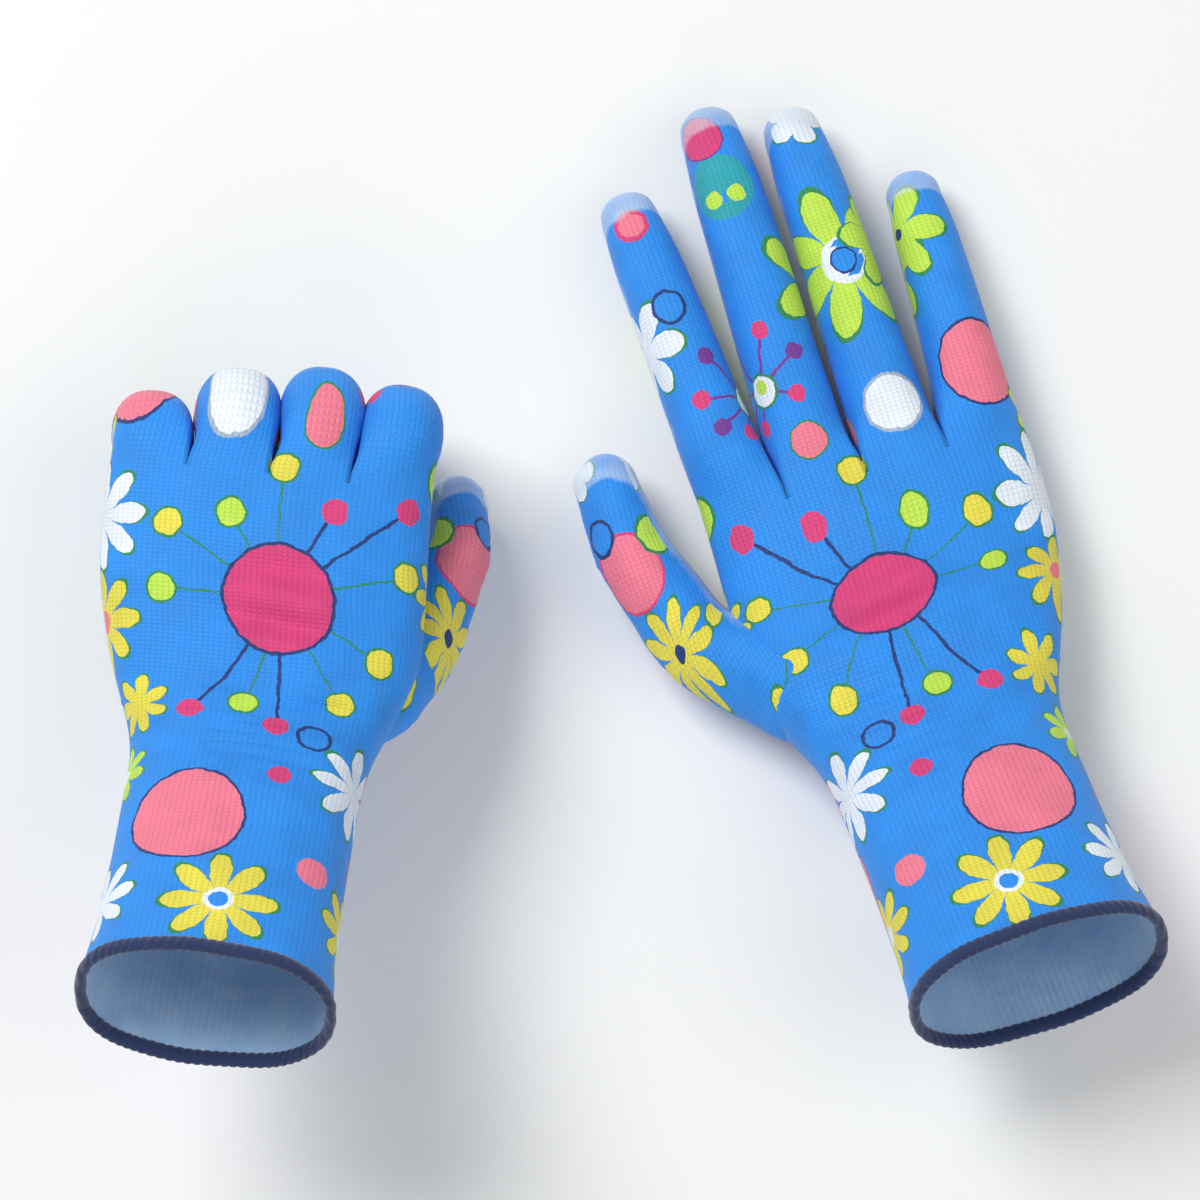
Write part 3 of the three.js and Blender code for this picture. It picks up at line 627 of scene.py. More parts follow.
@dataclass
class Skin:
    """A closed thin body cut from a sheet: an outer face, an inner face, and the rims that join them."""

    name: str
    sheet: Sheet
    first: int
    last: int
    outer: float
    inner: float
    closed_tip: bool = False
    covered: np.ndarray | None = None  # rows x columns, False where faces are left out
    sink: np.ndarray | None = None  # rows x columns, how far both faces are let in, millimetres

    def build(self, pose: Pose, outside: bpy.types.Material, inside: bpy.types.Material) -> bpy.types.Object:
        """Makes the mesh object in the row frame.

        Args:
            pose: the hand whose frame the sheet is in.
            outside: material of the outer face and rims.
            inside: material of the inner face.

        Returns:
            The new object, at the origin.
        """
        grid = pose.world(self.sheet.points)
        normals = unit_normals(grid)
        rows, columns = self.last - self.first + 1, grid.shape[1]
        part = slice(self.first, self.last + 1)
        grid, normals = grid[part].reshape(-1, 3), normals[part].reshape(-1, 3)
        let_in = np.zeros(len(grid)) if self.sink is None else self.sink[part].reshape(-1)
        triangles, column = ring_triangles(rows, columns)
        palmar = self.sheet.palmar[column]
        if self.covered is not None:
            keep = self.covered[part].reshape(-1)[triangles].all(axis=1)
            triangles, palmar = triangles[keep], palmar[keep]
        if self.closed_tip:
            grid, let_in = np.vstack([grid, grid[-columns:].mean(axis=0)]), np.append(let_in, let_in[-1])
            normals = np.vstack([normals, normals[-columns:].mean(axis=0)])
            normals[-1] /= np.linalg.norm(normals[-1])
            ring = (rows - 1) * columns + np.arange(columns)
            cap = np.stack([ring, np.roll(ring, -1), np.full(columns, len(grid) - 1)], axis=1)
            triangles = np.vstack([triangles, cap])
            palmar = np.concatenate([palmar, self.sheet.palmar])
        sample = triangles[len(triangles) // 2]
        face = np.cross(grid[sample[1]] - grid[sample[0]], grid[sample[2]] - grid[sample[0]])
        if face @ normals[sample[0]] < 0:
            triangles = triangles[:, ::-1]
        count = len(grid)
        edges = np.concatenate([triangles[:, [0, 1]], triangles[:, [1, 2]], triangles[:, [2, 0]]])
        keys, back_keys = edges[:, 0] * count + edges[:, 1], edges[:, 1] * count + edges[:, 0]
        rim = edges[~np.isin(keys, back_keys)]
        walls = np.concatenate([np.stack([rim[:, 1], rim[:, 0], rim[:, 0] + count], 1),
                                np.stack([rim[:, 1], rim[:, 0] + count, rim[:, 1] + count], 1)])
        faces = np.concatenate([triangles, triangles[:, ::-1] + count, walls])
        points = np.concatenate([grid + normals * (rise - let_in)[:, None] * MM
                                 for rise in (np.full(count, self.outer), np.full(count, self.inner))])
        both = np.concatenate([normals, -normals])
        front, back, dip = (self._stack(a[part], rows * columns) for a in
                            (self.sheet.front, self.sheet.back, self.sheet.dip[..., None]))
        front, back, dip = (np.concatenate([a, a]) for a in (front, back, dip))
        use_back = np.concatenate([palmar, palmar, np.zeros(len(walls), bool)])
        uv = np.where(use_back[:, None, None], back[faces], front[faces])
        material = np.concatenate([np.zeros(len(triangles)), np.ones(len(triangles)), np.zeros(len(walls))])
        used, packed = np.unique(faces, return_inverse=True)
        return make_object(self.name, points[used], packed.reshape(-1, 3), both[used], uv, dip[used, 0],
                           material.astype(int), (outside, inside))

    def _stack(self, values: np.ndarray, size: int) -> np.ndarray:
        """Flattens a per-point array, adding the tip's own point where the sheet is closed."""
        flat = values.reshape(size, -1)
        return np.vstack([flat, flat[-1:]]) if self.closed_tip else flat


def make_object(name: str, points: np.ndarray, faces: np.ndarray, normals: np.ndarray, uv: np.ndarray,
                dip: np.ndarray, material: np.ndarray,
                materials: tuple[bpy.types.Material, ...]) -> bpy.types.Object:
    """Puts arrays into a mesh object with its print map, dip share and printed motifs.

    Args:
        name: object and mesh name.
        points: vertices in metres.
        faces: triangles.
        normals: a smooth normal for each vertex.
        uv: print place of each face corner, millimetres.
        dip: film share of each vertex.
        material: material number of each face.
        materials: the materials.

    Returns:
        The object, linked to the scene.
    """
    mesh = bpy.data.meshes.new(name)
    mesh.from_pydata(points, [], faces.tolist())
    layer = mesh.uv_layers.new(name="print")
    layer.uv.foreach_set("vector", (uv.reshape(-1, 2) / PRINT_UNIT).ravel())
    attribute = mesh.attributes.new("dip", "FLOAT", "POINT")
    attribute.data.foreach_set("value", dip.astype(np.float32))
    PrintLayout(MOTIFS, STEMS).write(mesh, uv.mean(axis=1))
    mesh.polygons.foreach_set("material_index", material)
    mesh.polygons.foreach_set("use_smooth", np.ones(len(faces), bool))
    for item in materials:
        mesh.materials.append(item)
    mesh.normals_split_custom_set_from_vertices(normals)
    obj = bpy.data.objects.new(name, mesh)
    bpy.context.collection.objects.link(obj)
    return obj


@dataclass(frozen=True)
class PrintLayout:
    """Which motifs and stem lie nearest each face, written as face values that the print shader reads."""

    motifs: tuple[Motif, ...]
    stems: tuple[Stem, ...]

    def write(self, mesh: bpy.types.Mesh, places: np.ndarray) -> None:
        """Writes the two nearest motifs and the nearest stem of every face.

        Args:
            mesh: the mesh, whose faces are in the order of places.
            places: each face's middle on the flat glove, millimetres.
        """
        centre = np.array([(m.u, m.v) for m in self.motifs])
        radius = np.array([m.radius for m in self.motifs])
        away = np.linalg.norm(places[:, None, :] - centre[None], axis=2) - radius[None]
        small = np.where(away < 1.6, radius[None] - 100.0, away)
        order = np.argsort(small, axis=1)[:, :2]
        tables = {
            "place": np.array([(m.u, m.v, 0.0) for m in self.motifs]),
            "shape": np.array([(m.radius, m.petals / 2, m.depth) for m in self.motifs]),
            "ink": np.array([(m.body.place, m.edge.place, m.core.place) for m in self.motifs]),
            "rim": np.array([(m.rim, m.eye, m.turn) for m in self.motifs]),
        }
        for slot_number in (0, 1):
            for key, table in tables.items():
                self._put(mesh, f"motif{slot_number}_{key}", table[order[:, slot_number]])
        start = np.array([s.start for s in self.stems], dtype=float)
        run = np.array([s.end for s in self.stems], dtype=float) - start
        offset = places[:, None, :] - start[None]
        share = np.clip((offset * run).sum(2) / (run * run).sum(1)[None], 0, 1)
        nearest = np.linalg.norm(offset - share[..., None] * run[None], axis=2).argmin(axis=1)
        ink = np.array([s.ink.place for s in self.stems])
        width = np.array([s.width for s in self.stems])
        self._put(mesh, "stem_start", np.column_stack([start[nearest], np.zeros(len(nearest))]))
        self._put(mesh, "stem_run", np.column_stack([run[nearest], np.zeros(len(nearest))]))
        facts = np.column_stack([width, ink, (run * run).sum(1)])
        self._put(mesh, "stem_ink", facts[nearest])

    @staticmethod
    def _put(mesh: bpy.types.Mesh, name: str, values: np.ndarray) -> None:
        """Writes one vector for each face."""
        attribute = mesh.attributes.new(name, "FLOAT_VECTOR", "FACE")
        attribute.data.foreach_set("vector", values.astype(np.float32).ravel())


# ---------------------------------------------------------------- materials

def linear(hex_colour: str) -> tuple[float, float, float, float]:
    """An sRGB hex colour as linear red, green, blue and full alpha."""
    channels = [int(hex_colour[i:i + 2], 16) / 255 for i in (1, 3, 5)]
    return (*[c / 12.92 if c <= 0.04045 else ((c + 0.055) / 1.055) ** 2.4 for c in channels], 1.0)


def add(tree: bpy.types.NodeTree, kind: str, links: dict | None = None, **settings: object) -> bpy.types.Node:
    """Adds a node.

    Args:
        tree: the node tree.
        kind: the node's type name, without its ShaderNode start.
        links: for each input, by name or number, a value, a node (its first output) or a socket.
        settings: properties of the node.

    Returns:
        The node.
    """
    node = tree.nodes.new("ShaderNode" + kind)
    for key, value in settings.items():
        setattr(node, key, value)
    for key, value in (links or {}).items():
        if isinstance(value, bpy.types.Node):
            tree.links.new(value.outputs[0], node.inputs[key])
        elif isinstance(value, bpy.types.NodeSocket):
            tree.links.new(value, node.inputs[key])
        else:
            node.inputs[key].default_value = value
    return node


def blank_material(name: str) -> tuple[bpy.types.Material, bpy.types.Node]:
    """A new material with no nodes but its output.

    Args:
        name: the material's name.

    Returns:
        The material and its output node.
    """
    material = bpy.data.materials.new(name)
    material.use_nodes = True
    material.node_tree.nodes.clear()
    return material, material.node_tree.nodes.new("ShaderNodeOutputMaterial")


@dataclass(frozen=True)
class PrintedCloth:
    """Fine-gauge polyester knit with an all-over dye print, and its look under the dipped film.

    The eye sees flat clear inks with slightly soft edges on small even stitches, dry and faintly
    fuzzy, and the same print milky and wet-looking where the film covers it.
    """

    name: str
    film: bool
    stitch: float = 1.5  # drawn at 1.5 mm: the real 0.9 mm stitches are too fine to show
    wash: str = "#D5E3EE"  # the milky film over the ground colour
    gap: str = "#1D5FA8"  # painted shade: the deeper blue laid between the stitches

    def build(self) -> bpy.types.Material:
        """Makes the material."""
        material, out = blank_material(self.name)
        tree = material.node_tree
        uv = add(tree, "UVMap", uv_map="print")
        place = add(tree, "VectorMath", {0: uv, 3: PRINT_UNIT}, operation="SCALE")
        wobble = add(tree, "TexNoise", {"Vector": place, "Scale": 0.33, "Detail": 2.0})
        offset = add(tree, "VectorMath", {0: wobble.outputs["Color"], 1: (-0.5, -0.5, -0.5)}, operation="ADD")
        inked = add(tree, "VectorMath", {0: offset, 1: (1.5, 1.5, 0.0), 2: place}, operation="MULTIPLY_ADD")
        colour = self._print(tree, inked)
        dye = add(tree, "TexNoise", {"Vector": place, "Scale": 0.09, "Detail": 4.0})
        shade = add(tree, "MapRange", {0: dye, 1: 0.3, 2: 0.7, 3: 0.9, 4: 1.08})
        varied = add(tree, "VectorMath", {0: colour, 3: shade.outputs[0]}, operation="SCALE")
        height, stitch_shade = self._stitches(tree, place)
        # painted shade: the knit colour is darkened with the gap blue between the stitches, where they sink
        knit = add(tree, "Mix", {0: stitch_shade, 6: varied, 7: linear(self.gap)},
                   data_type="RGBA", blend_type="MULTIPLY")
        dip = add(tree, "Attribute", attribute_name="dip")
        edge_noise = add(tree, "TexNoise", {"Vector": place, "Scale": 0.12, "Detail": 2.0})
        spread = add(tree, "Math", {0: edge_noise, 1: 0.5, 2: dip.outputs["Fac"]}, operation="MULTIPLY_ADD")
        cover = add(tree, "MapRange", {0: spread, 1: 0.62, 2: 0.82, 3: 0.0, 4: 1.0})
        cloud = add(tree, "TexNoise", {"Vector": place, "Scale": 0.05, "Detail": 3.0})
        amount = add(tree, "MapRange", {0: cloud, 1: 0.35, 2: 0.65, 3: 0.28, 4: 0.58})
        film_share = add(tree, "Math", {0: cover, 1: amount}, operation="MULTIPLY")
        milky = amount if self.film else film_share
        final = add(tree, "Mix", {0: milky, 6: knit.outputs[2], 7: linear(self.wash)}, data_type="RGBA")
        dry = add(tree, "MapRange", {0: dye, 1: 0.3, 2: 0.7, 3: 0.6, 4: 0.74})
        wet = add(tree, "MapRange", {0: cloud, 1: 0.3, 2: 0.7, 3: 0.3, 4: 0.42})
        rough = add(tree, "Mix", {0: 1.0 if self.film else cover, 2: dry, 3: wet}, data_type="FLOAT")
        relief = 0.2 if self.film else 0.4
        bump = add(tree, "Bump", {"Strength": relief, "Distance": 0.0004, "Height": height})
        shader = add(tree, "BsdfPrincipled", {
            "Base Color": final.outputs[2], "Roughness": rough, "Normal": bump, "IOR": 1.5,
            "Sheen Weight": 0.0 if self.film else 0.08, "Sheen Roughness": 0.5,
            "Coat Weight": 0.35 if self.film else 0.0, "Coat Roughness": 0.3})
        tree.links.new(shader.outputs[0], out.inputs[0])
        return material

    def _stitches(self, tree: bpy.types.NodeTree,
                  place: bpy.types.Node) -> tuple[bpy.types.Node, bpy.types.Node]:
        """Knit columns of little V stitches: height |sin| across a column times |sin| along slanted courses.

        Args:
            tree: the node tree.
            place: print place in millimetres.

        Returns:
            The height, and a mask of the dark gaps between stitches.
        """
        axes = add(tree, "SeparateXYZ", {0: place})
        column = add(tree, "Math", {0: axes.outputs[0], 1: math.pi / self.stitch}, operation="MULTIPLY")
        ridge = add(tree, "Math", {0: column}, operation="SINE")
        across = add(tree, "Math", {0: ridge}, operation="ABSOLUTE")
        slant = add(tree, "Math", {0: across, 1: 0.6, 2: axes.outputs[1]}, operation="MULTIPLY_ADD")
        course = add(tree, "Math", {0: slant, 1: math.pi / (self.stitch * 0.72)}, operation="MULTIPLY")
        along = add(tree, "Math", {0: add(tree, "Math", {0: course}, operation="SINE")}, operation="ABSOLUTE")
        both = add(tree, "Math", {0: across, 1: along}, operation="MULTIPLY")
        height = add(tree, "Math", {0: both, 1: 0.5}, operation="POWER")
        # painted shade: the mask is full where the stitch height is lowest
        stitch_shade = add(tree, "MapRange", {0: both, 1: 0.0, 2: 0.35, 3: 0.22, 4: 0.0})
        return height, stitch_shade

    def _print(self, tree: bpy.types.NodeTree, place: bpy.types.Node) -> bpy.types.NodeSocket:
        """Lays the stem and then the two motifs over the ground.

        A motif's outline is R = r (1 - depth (1 - |cos(petals angle / 2 + turn)|^0.6)), its rim is the
        part beyond R (1 - rim), and its eye is the part within r eye.

        Args:
            tree: the node tree.
            place: print place in millimetres.

        Returns:
            The printed colour.
        """
        start = add(tree, "Attribute", attribute_name="stem_start").outputs["Vector"]
        run = add(tree, "Attribute", attribute_name="stem_run").outputs["Vector"]
        stem = add(tree, "Attribute", attribute_name="stem_ink").outputs["Vector"]
        facts = add(tree, "SeparateXYZ", {0: stem})
        offset = add(tree, "VectorMath", {0: place, 1: start}, operation="SUBTRACT")
        reach = add(tree, "VectorMath", {0: offset, 1: run}, operation="DOT_PRODUCT").outputs["Value"]
        share = add(tree, "Math", {0: reach, 1: facts.outputs[2]}, operation="DIVIDE", use_clamp=True)
        foot = add(tree, "VectorMath", {0: run, 3: share.outputs[0]}, operation="SCALE")
        gap = add(tree, "VectorMath", {0: offset, 1: foot}, operation="DISTANCE").outputs["Value"]
        on_stem = add(tree, "Math", {0: gap, 1: facts.outputs[0]}, operation="LESS_THAN")
        colour = add(tree, "Mix", {0: on_stem, 6: linear(Ink.GROUND.value),
                                   7: self._ink(tree, facts.outputs[1])}, data_type="RGBA").outputs[2]
        for number in (1, 0):
            values = {key: add(tree, "Attribute", attribute_name=f"motif{number}_{key}").outputs["Vector"]
                      for key in ("place", "shape", "ink", "rim")}
            shape, inks, rim = (add(tree, "SeparateXYZ", {0: values[key]}) for key in ("shape", "ink", "rim"))
            flat = add(tree, "VectorMath", {0: place, 1: (1.0, 1.0, 0.0)}, operation="MULTIPLY")
            away = add(tree, "VectorMath", {0: flat, 1: values["place"]}, operation="SUBTRACT")
            distance = add(tree, "VectorMath", {0: away}, operation="LENGTH").outputs["Value"]
            parts = add(tree, "SeparateXYZ", {0: away})
            angle = add(tree, "Math", {0: parts.outputs[1], 1: parts.outputs[0]}, operation="ARCTAN2")
            phase = add(tree, "Math", {0: angle, 1: shape.outputs[1], 2: rim.outputs[2]},
                        operation="MULTIPLY_ADD")
            cosine = add(tree, "Math", {0: phase}, operation="COSINE")
            swing = add(tree, "Math", {0: cosine}, operation="ABSOLUTE")
            lobe = add(tree, "Math", {0: swing, 1: 0.6}, operation="POWER")
            wave = add(tree, "Math", {0: lobe, 1: 1.0}, operation="SUBTRACT")
            scale = add(tree, "Math", {0: wave, 1: shape.outputs[2], 2: 1.0}, operation="MULTIPLY_ADD")
            outline = add(tree, "Math", {0: scale, 1: shape.outputs[0]}, operation="MULTIPLY")
            ratio = add(tree, "Math", {0: distance, 1: outline}, operation="DIVIDE")
            inside = add(tree, "Math", {0: ratio, 1: 1.0}, operation="LESS_THAN")
            inner = add(tree, "Math", {0: 1.0, 1: rim.outputs[0]}, operation="SUBTRACT")
            on_rim = add(tree, "Math", {0: ratio, 1: inner}, operation="GREATER_THAN")
            eye = add(tree, "Math", {0: shape.outputs[0], 1: rim.outputs[1]}, operation="MULTIPLY")
            in_eye = add(tree, "Math", {0: distance, 1: eye}, operation="LESS_THAN")
            rimmed = add(tree, "Mix", {0: on_rim, 6: self._ink(tree, inks.outputs[0]),
                                       7: self._ink(tree, inks.outputs[1])}, data_type="RGBA")
            eyed = add(tree, "Mix", {0: in_eye, 6: rimmed.outputs[2], 7: self._ink(tree, inks.outputs[2])},
                       data_type="RGBA")
            colour = add(tree, "Mix", {0: inside, 6: colour, 7: eyed.outputs[2]}, data_type="RGBA").outputs[2]
        return colour

    @staticmethod
    def _ink(tree: bpy.types.NodeTree, place: bpy.types.NodeSocket) -> bpy.types.NodeSocket:
        """The ink at a place on the ramp."""
        ramp = add(tree, "ValToRGB", {0: place})
        ramp.color_ramp.interpolation = "CONSTANT"
        bands = ramp.color_ramp.elements
        for number, ink in enumerate(Ink):
            band = bands[number] if number < 2 else bands.new(number / len(Ink))
            band.position = number / len(Ink)
            band.color = linear(ink.value)
        return ramp.outputs[0]


@dataclass(frozen=True)
class Liner:
    """The unprinted inside of the knit: pale blue yarn where the print has struck through, dry and fuzzy."""

    name: str = "knit_liner_inside"

    def build(self) -> bpy.types.Material:
        """Makes the material."""
        material, out = blank_material(self.name)
        tree = material.node_tree
        uv = add(tree, "UVMap", uv_map="print")
        place = add(tree, "VectorMath", {0: uv, 3: PRINT_UNIT}, operation="SCALE")
        cloud = add(tree, "TexNoise", {"Vector": place, "Scale": 0.12, "Detail": 4.0})
        tint = add(tree, "Mix", {0: cloud, 6: linear("#7FB4E6"), 7: linear("#C7DDF2")}, data_type="RGBA")
        ribs = add(tree, "TexWave", {"Vector": place, "Scale": 0.18, "Distortion": 1.0, "Detail": 1.0})
        bump = add(tree, "Bump", {"Strength": 0.5, "Distance": 0.0004, "Height": ribs.outputs["Fac"]})
        rough = add(tree, "MapRange", {0: cloud, 1: 0.3, 2: 0.7, 3: 0.84, 4: 0.95})
        shader = add(tree, "BsdfPrincipled", {
            "Base Color": tint.outputs[2], "Roughness": rough, "Normal": bump, "Sheen Weight": 0.3})
        tree.links.new(shader.outputs[0], out.inputs[0])
        return material


@dataclass(frozen=True)
class OverlockYarn:
    """Textured polyester overlock yarn in navy: soft round thread, matt, painted lighter where its fibre bump
    rises (a painted highlight on the raised fibres) and darker between them (painted shade).
    """

    name: str = "overlock_yarn_navy"

    def build(self) -> bpy.types.Material:
        """Makes the material."""
        material, out = blank_material(self.name)
        tree = material.node_tree
        place = add(tree, "TexCoord").outputs["Object"]
        fibres = add(tree, "TexNoise", {"Vector": place, "Scale": 1800.0, "Detail": 3.0})
        # painted highlight and shade: the same noise that raises the fibres lightens their colour
        tint = add(tree, "Mix", {0: fibres, 6: linear("#0B1532"), 7: linear("#223A72")}, data_type="RGBA")
        bump = add(tree, "Bump", {"Strength": 0.6, "Distance": 0.0003, "Height": fibres})
        rough = add(tree, "MapRange", {0: fibres, 1: 0.3, 2: 0.7, 3: 0.75, 4: 0.92})
        shader = add(tree, "BsdfPrincipled", {
            "Base Color": tint.outputs[2], "Roughness": rough, "Normal": bump, "Sheen Weight": 0.35})
        tree.links.new(shader.outputs[0], out.inputs[0])
        return material


# ---------------------------------------------------------------- the glove

@dataclass
class Finishes:
    """The materials that both gloves share."""

    knit: bpy.types.Material = field(
        default_factory=lambda: PrintedCloth("printed_polyester_knit", False).build())
    film: bpy.types.Material = field(
        default_factory=lambda: PrintedCloth("dipped_polyurethane_film", True).build())
    liner: bpy.types.Material = field(default_factory=lambda: Liner().build())
    yarn: bpy.types.Material = field(default_factory=lambda: OverlockYarn().build())


@dataclass
class Glove:
    """One glove: cuff, hem, palm, four finger stalls, a thumb stall, and the film over them."""

    pose: Pose
    finishes: Finishes
    film_out: float = 0.42  # the film's outer face above the knit
    film_in: float = 0.12  # its inner face
    hem_wide: float = 1.8  # half size of the overlocked roll along the cuff
    hem_deep: float = 1.25  # and through it
    stitches: int = 64  # overlock stitches round the hem
    palm: PalmSurface = field(init=False)

    def __post_init__(self) -> None:
        """Makes the palm surface that the pieces are cut from."""
        self.palm = PalmSurface(self.pose)

    def build(self) -> None:
        """Builds every piece of the glove; the palm, its film and the hem are put on their bodies."""
        self._palm_and_cuff()
        self._hem()
        for number, spec in enumerate(FINGERS):
            self._finger(number, spec)
        self._thumb()

    def _name(self, *words: str) -> str:
        """A piece, node or body name that starts with the glove's side."""
        return "_".join((self.pose.side, *words))

    def _finish(self, piece: bpy.types.Object, node: str | None) -> None:
        """Hides the CAD node that a piece stands for, where there is one, and reports the piece."""
        if node:
            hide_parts(node)
        LOG.info("%s: %d faces", piece.name, len(piece.data.polygons))

    def _bend(self, piece: bpy.types.Object, ends: np.ndarray) -> None:
        """Bakes a piece's transform into its mesh; the two places on its centre line are turned to the row
        frame but not used.
        """
        start, end = self.pose.world(ends)
        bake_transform(piece)

    def _palm_and_cuff(self) -> None:
        """The palm rides on the hand, the cuff is shaped with its bend at the wrist but rides on no body, and a
        film covers the palm side.
        """
        v = np.concatenate([np.linspace(WRIST_V - CUFF_LENGTH, CUFF_TOP, 62, endpoint=False),
                            np.linspace(CUFF_TOP, SPLIT_V, 42), [SPLIT_V + 1.4, SPLIT_V + 2.8]])
        sheet = self.palm.sheet(v)
        first, last = sheet.cut(CUFF_TOP, SPLIT_V)
        palm = Skin(self._name("palm"), sheet, first, last, 0.0, -KNIT).build(
            self.pose, self.finishes.knit, self.finishes.liner)
        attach(palm, self._name("hand"))
        self._finish(palm, self._name("palm_knit"))
        columns = np.repeat((sheet.dip[-1] > 0.3)[None, :], len(v), axis=0)
        film = Skin(self._name("palm_dip"), sheet, first, last, self.film_out, self.film_in, covered=columns,
                    sink=self._let_in(columns)).build(self.pose, self.finishes.film, self.finishes.film)
        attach(film, self._name("hand"))
        self._finish(film, self._name("palm_film"))
        cuff = Skin(self._name("cuff"), sheet, 0, first, 0.0, -KNIT).build(
            self.pose, self.finishes.knit, self.finishes.liner)
        centre = self.palm.grid(np.array([-76.0, -94.0])).mean(axis=1)
        self._bend(cuff, centre)
        self._finish(cuff, self._name("cuff_knit"))

    def _hem(self) -> None:
        """The overlocked edge: an oval roll round the cuff's mouth, rippled like slanted stitches.

        The roll's surface is place + wide cos(a) along + deep sin(a) outwards, and its size grows
        by a share of |sin| of the stitch count times the way round plus the roll angle.
        """
        v = WRIST_V - CUFF_LENGTH + np.array([-1.0, 0.0, 1.0])
        mouth = self.pose.world(self.palm.grid(v))
        fine = 8
        closed = np.concatenate([mouth, mouth[:, :1]], axis=1)
        finer = np.arange(fine * mouth.shape[1]) / fine
        mouth = np.stack([np.interp(finer, np.arange(closed.shape[1]), closed[r, :, k])
                          for r in range(3) for k in range(3)])
        mouth = mouth.reshape(3, 3, -1).transpose(0, 2, 1)
        normals = unit_normals(mouth)[1]
        along = mouth[0] - mouth[2]
        along /= np.linalg.norm(along, axis=1, keepdims=True)
        count = mouth.shape[1]
        way = np.linspace(0, 2 * math.pi, count, endpoint=False)[:, None]
        roll = np.linspace(0, 2 * math.pi, 14, endpoint=False)[None, :]
        ripple = 1 + 0.16 * np.abs(np.sin(self.stitches / 2 * way + roll * 1.0))
        middle = mouth[1] - normals * KNIT / 2 * MM
        points = (middle[:, None] + (self.hem_wide * MM * np.cos(roll) * ripple)[..., None] * along[:, None]
                  + (self.hem_deep * MM * np.sin(roll) * ripple)[..., None] * normals[:, None])
        rows, columns = points.shape[:2]
        i, j = np.meshgrid(np.arange(rows), np.arange(columns), indexing="ij")
        k, m = (i + 1) % rows, (j + 1) % columns
        faces = np.stack([i * columns + j, k * columns + j, k * columns + m, i * columns + m], axis=-1)
        faces = faces.reshape(-1, 4)
        flat = points.reshape(-1, 3)
        outward = flat - np.repeat(middle, columns, axis=0)
        first = faces[0]
        if np.cross(flat[first[1]] - flat[first[0]], flat[first[2]] - flat[first[0]]) @ outward[first[0]] < 0:
            faces = faces[:, ::-1]
        mesh = bpy.data.meshes.new(self._name("hem"))
        mesh.from_pydata(flat, [], faces.tolist())
        mesh.polygons.foreach_set("use_smooth", np.ones(len(faces), bool))
        mesh.materials.append(self.finishes.yarn)
        hem = bpy.data.objects.new(mesh.name, mesh)
        bpy.context.collection.objects.link(hem)
        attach(hem, self._name("cuff"))
        self._finish(hem, self._name("cuff_hem"))

    def _finger(self, number: int, spec: Finger) -> None:
        """One finger stall in three pieces, each cut round one of its joints, and the film on each."""
        surface = FingerSurface(self.pose, spec, number, self.palm)
        start = SPLIT_V - spec.base[1]
        one, two, _ = spec.lengths
        cuts = (start, one * 0.5, one + two * 0.5)
        rows = np.concatenate([[start - 2.8, start - 1.4], surface.rows(start, cuts[1:])])
        sheet = surface.sheet(rows)
        stops = (*cuts, surface.end)
        for part, (label, joint) in enumerate(zip(("lower", "middle", "tip"), (0.0, one, one + two))):
            first, last = sheet.cut(stops[part], stops[part + 1])
            reach = 8.6 if part == 0 else 7.6
            ends, _ = surface.line(np.array([joint - reach, joint + reach]))
            self._stall(sheet, first, last, f"{spec.name}_{label}", part == 2,
                        ends, has_film_node=part > 0)

    def _thumb(self) -> None:
        """The thumb stall in two pieces, with its film."""
        surface = ThumbSurface(self.pose)
        start, knuckle, joint = surface.marks[0], surface.marks[2], surface.marks[3]
        cut = (knuckle + joint) / 2
        sheet = surface.sheet(surface.rows(start, (cut,)))
        for label, at, low, high, before, after in (
                ("lower", knuckle, start, cut, "hand", "thumb_lower"),
                ("tip", joint, cut, surface.end, "thumb_lower", "thumb_tip")):
            first, last = sheet.cut(low, high)
            ends, _ = surface.line(np.array([at - 8.0, at + 8.0]))
            self._stall(sheet, first, last, f"thumb_{label}", label == "tip", ends, True)

    def _stall(self, sheet: Sheet, first: int, last: int, label: str, tip: bool,
               ends: np.ndarray, has_film_node: bool) -> None:
        """One piece of a stall and the film over it.

        Args:
            sheet: the whole digit's surface.
            first: the piece's first row.
            last: its last row.
            label: digit and part, as the CAD nodes name them.
            tip: whether the piece ends in the closed tip.
            ends: two places on the centre line either side of the joint; not used.
            has_film_node: whether the CAD has a film node for this part.
        """
        knit = Skin(self._name(label), sheet, first, last, 0.0, -KNIT, tip).build(
            self.pose, self.finishes.knit, self.finishes.liner)
        self._bend(knit, ends)
        self._finish(knit, self._name(label, "knit"))
        cover = self._film_cover(sheet)
        film = Skin(self._name(label, "dip"), sheet, first, last, self.film_out, self.film_in, tip, cover,
                    self._let_in(cover)).build(self.pose, self.finishes.film, self.finishes.film)
        self._bend(film, ends)
        self._finish(film, self._name(label, "film") if has_film_node else None)

    def _let_in(self, cover: np.ndarray) -> np.ndarray:
        """How deep the film is let into the knit: full depth at its edge, half a step in, none beyond.

        Args:
            cover: rows x columns, True under the film.

        Returns:
            Depths in millimetres, which hide the film's edge in the knit.
        """
        def worn(area: np.ndarray) -> np.ndarray:
            """The area without the points at its edge."""
            down = np.vstack([area[:1], area[:-1]]) & np.vstack([area[1:], area[-1:]])
            return area & down & np.roll(area, 1, axis=1) & np.roll(area, -1, axis=1)

        once = worn(cover)
        share = 1.0 - 0.55 * once - 0.45 * worn(once)
        return share * (self.film_out + 0.15)

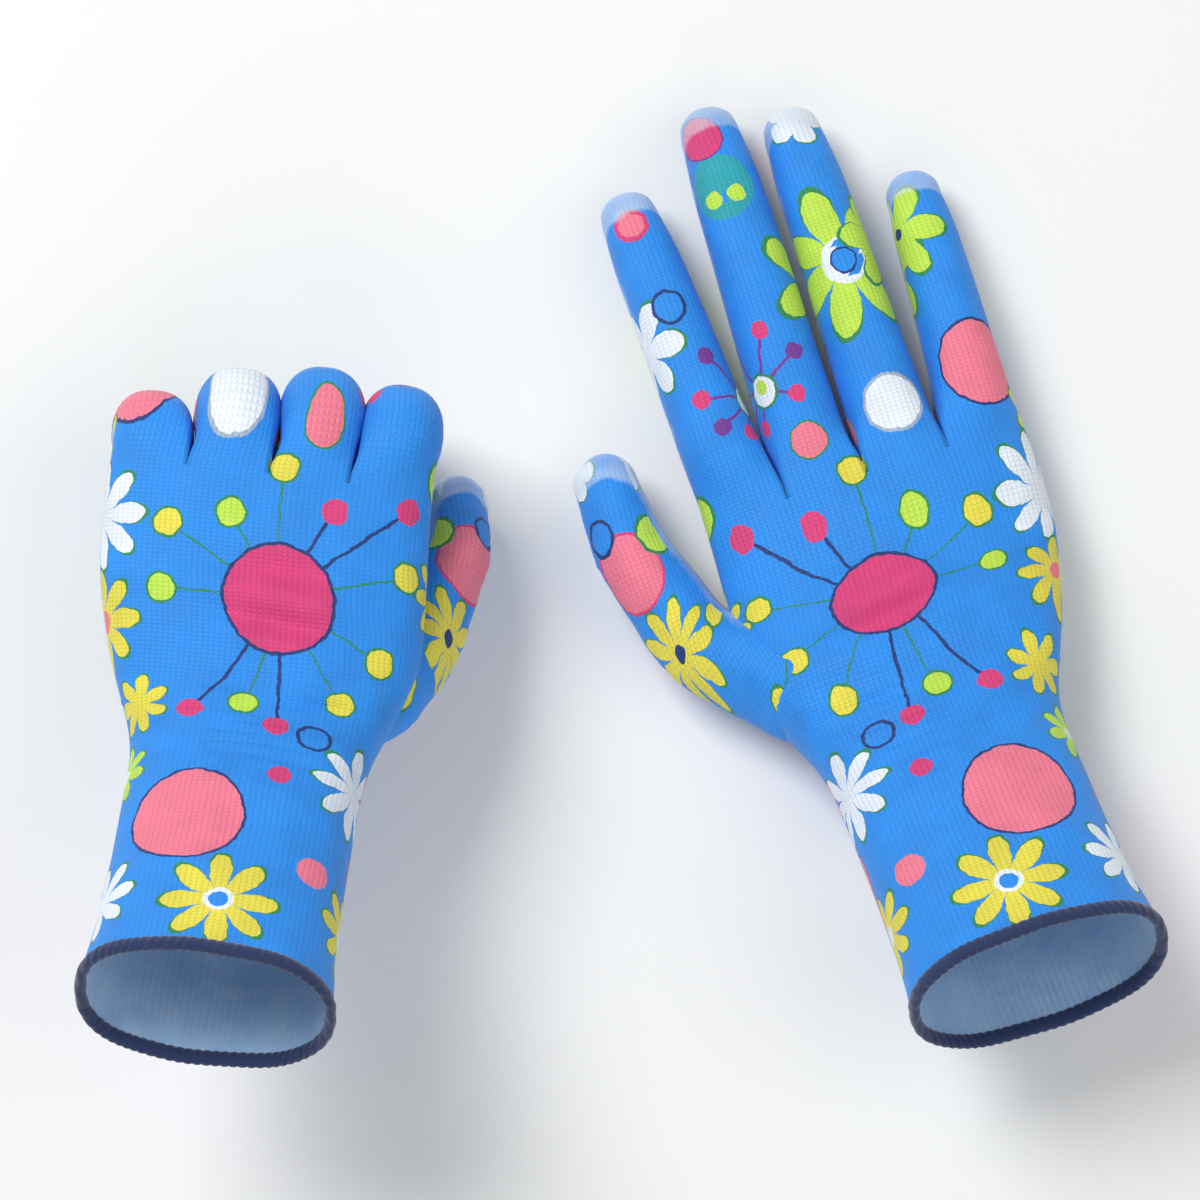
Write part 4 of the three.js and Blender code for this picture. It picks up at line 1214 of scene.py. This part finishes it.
    @staticmethod
    def _film_cover(sheet: Sheet) -> np.ndarray:
        """Points that the film body covers: the palm-side columns, and every column round the tip."""
        under = np.zeros(sheet.points.shape[:2], bool)
        column = np.arange(sheet.points.shape[1])
        under[:, (column <= 2) | (column >= SIDE + STRIP + 6)] = True
        under[sheet.dip.min(axis=1) > 0.62] = True
        return under


# ---------------------------------------------------------------- stage

@dataclass(frozen=True)
class Lamp:
    """A square soft light: its place in metres, its power in watts, and its size."""

    name: str
    place: tuple[float, float, float]
    power: float
    size: float


@dataclass(frozen=True)
class Stage:
    """A pale floor, soft studio lights, and the camera."""

    target: tuple[float, float, float] = (-0.0069, -0.0048, 0.020)
    elevation: float = math.radians(77.9)
    distance: float = 1.5
    lens: float = 174.6
    sensor: float = 36.0
    floor_half: float = 3.0
    floor_z: float = -0.0006
    lamps: tuple[Lamp, ...] = (
        Lamp("key", (-0.9, 0.7, 1.6), 26, 0.9), Lamp("fill", (1.1, -0.3, 1.3), 6.5, 1.4),
        Lamp("front", (0.0, -1.3, 0.9), 4, 1.2))

    def build(self) -> None:
        """Adds the floor, the lights, the surroundings and the camera."""
        self._floor()
        for lamp in self.lamps:
            light = bpy.data.lights.new(lamp.name, "AREA")
            light.energy, light.size = lamp.power, lamp.size
            obj = bpy.data.objects.new(lamp.name, light)
            obj.location = lamp.place
            obj.rotation_euler = self._aim(np.array(lamp.place), np.array([0, 0, 0.03]))
            bpy.context.collection.objects.link(obj)
        world = bpy.data.worlds.new("studio")
        world.use_nodes = True
        background = world.node_tree.nodes["Background"]
        background.inputs[0].default_value = linear("#EEF2F6")
        background.inputs[1].default_value = 0.36
        bpy.context.scene.world = world
        bpy.context.scene.view_settings.view_transform = "Standard"  # dyes show as their own colours
        self._camera()

    def _floor(self) -> None:
        """A pale plain floor under the gloves."""
        mesh = bpy.data.meshes.new("floor")
        h, z = self.floor_half, self.floor_z
        mesh.from_pydata([(-h, -h, z), (h, -h, z), (h, h, z), (-h, h, z)], [], [(0, 1, 2, 3)])
        material = bpy.data.materials.new("painted_board_pale")
        material.use_nodes = True
        shader = material.node_tree.nodes["Principled BSDF"]
        shader.inputs["Base Color"].default_value = linear("#F4F4F2")
        shader.inputs["Roughness"].default_value = 0.8
        mesh.materials.append(material)
        floor = bpy.data.objects.new("floor", mesh)
        bpy.context.collection.objects.link(floor)

    @staticmethod
    def _aim(place: np.ndarray, target: np.ndarray) -> tuple[float, float, float]:
        """The turn that points an object's -Z from place to target, its Y upwards."""
        return tuple(Vector(target - place).to_track_quat("-Z", "Y").to_euler())

    def _camera(self) -> None:
        """The camera, south of the gloves and nearly overhead."""
        way = np.array([0.0, -math.cos(self.elevation), math.sin(self.elevation)])
        target = np.array(self.target)
        place = target + self.distance * way
        data = bpy.data.cameras.new("camera")
        data.lens, data.sensor_width = self.lens, self.sensor
        camera = bpy.data.objects.new("camera", data)
        camera.location = tuple(place)
        camera.rotation_euler = self._aim(place, target)
        bpy.context.collection.objects.link(camera)
        bpy.context.scene.camera = camera


def main() -> None:
    """Builds both gloves and the stage."""
    logging.basicConfig(level=logging.INFO, format="%(message)s")
    finishes = Finishes()
    for pose in (OPEN, FIST):
        Glove(pose, finishes).build()
    Stage().build()


if __name__ == "__main__":
    main()
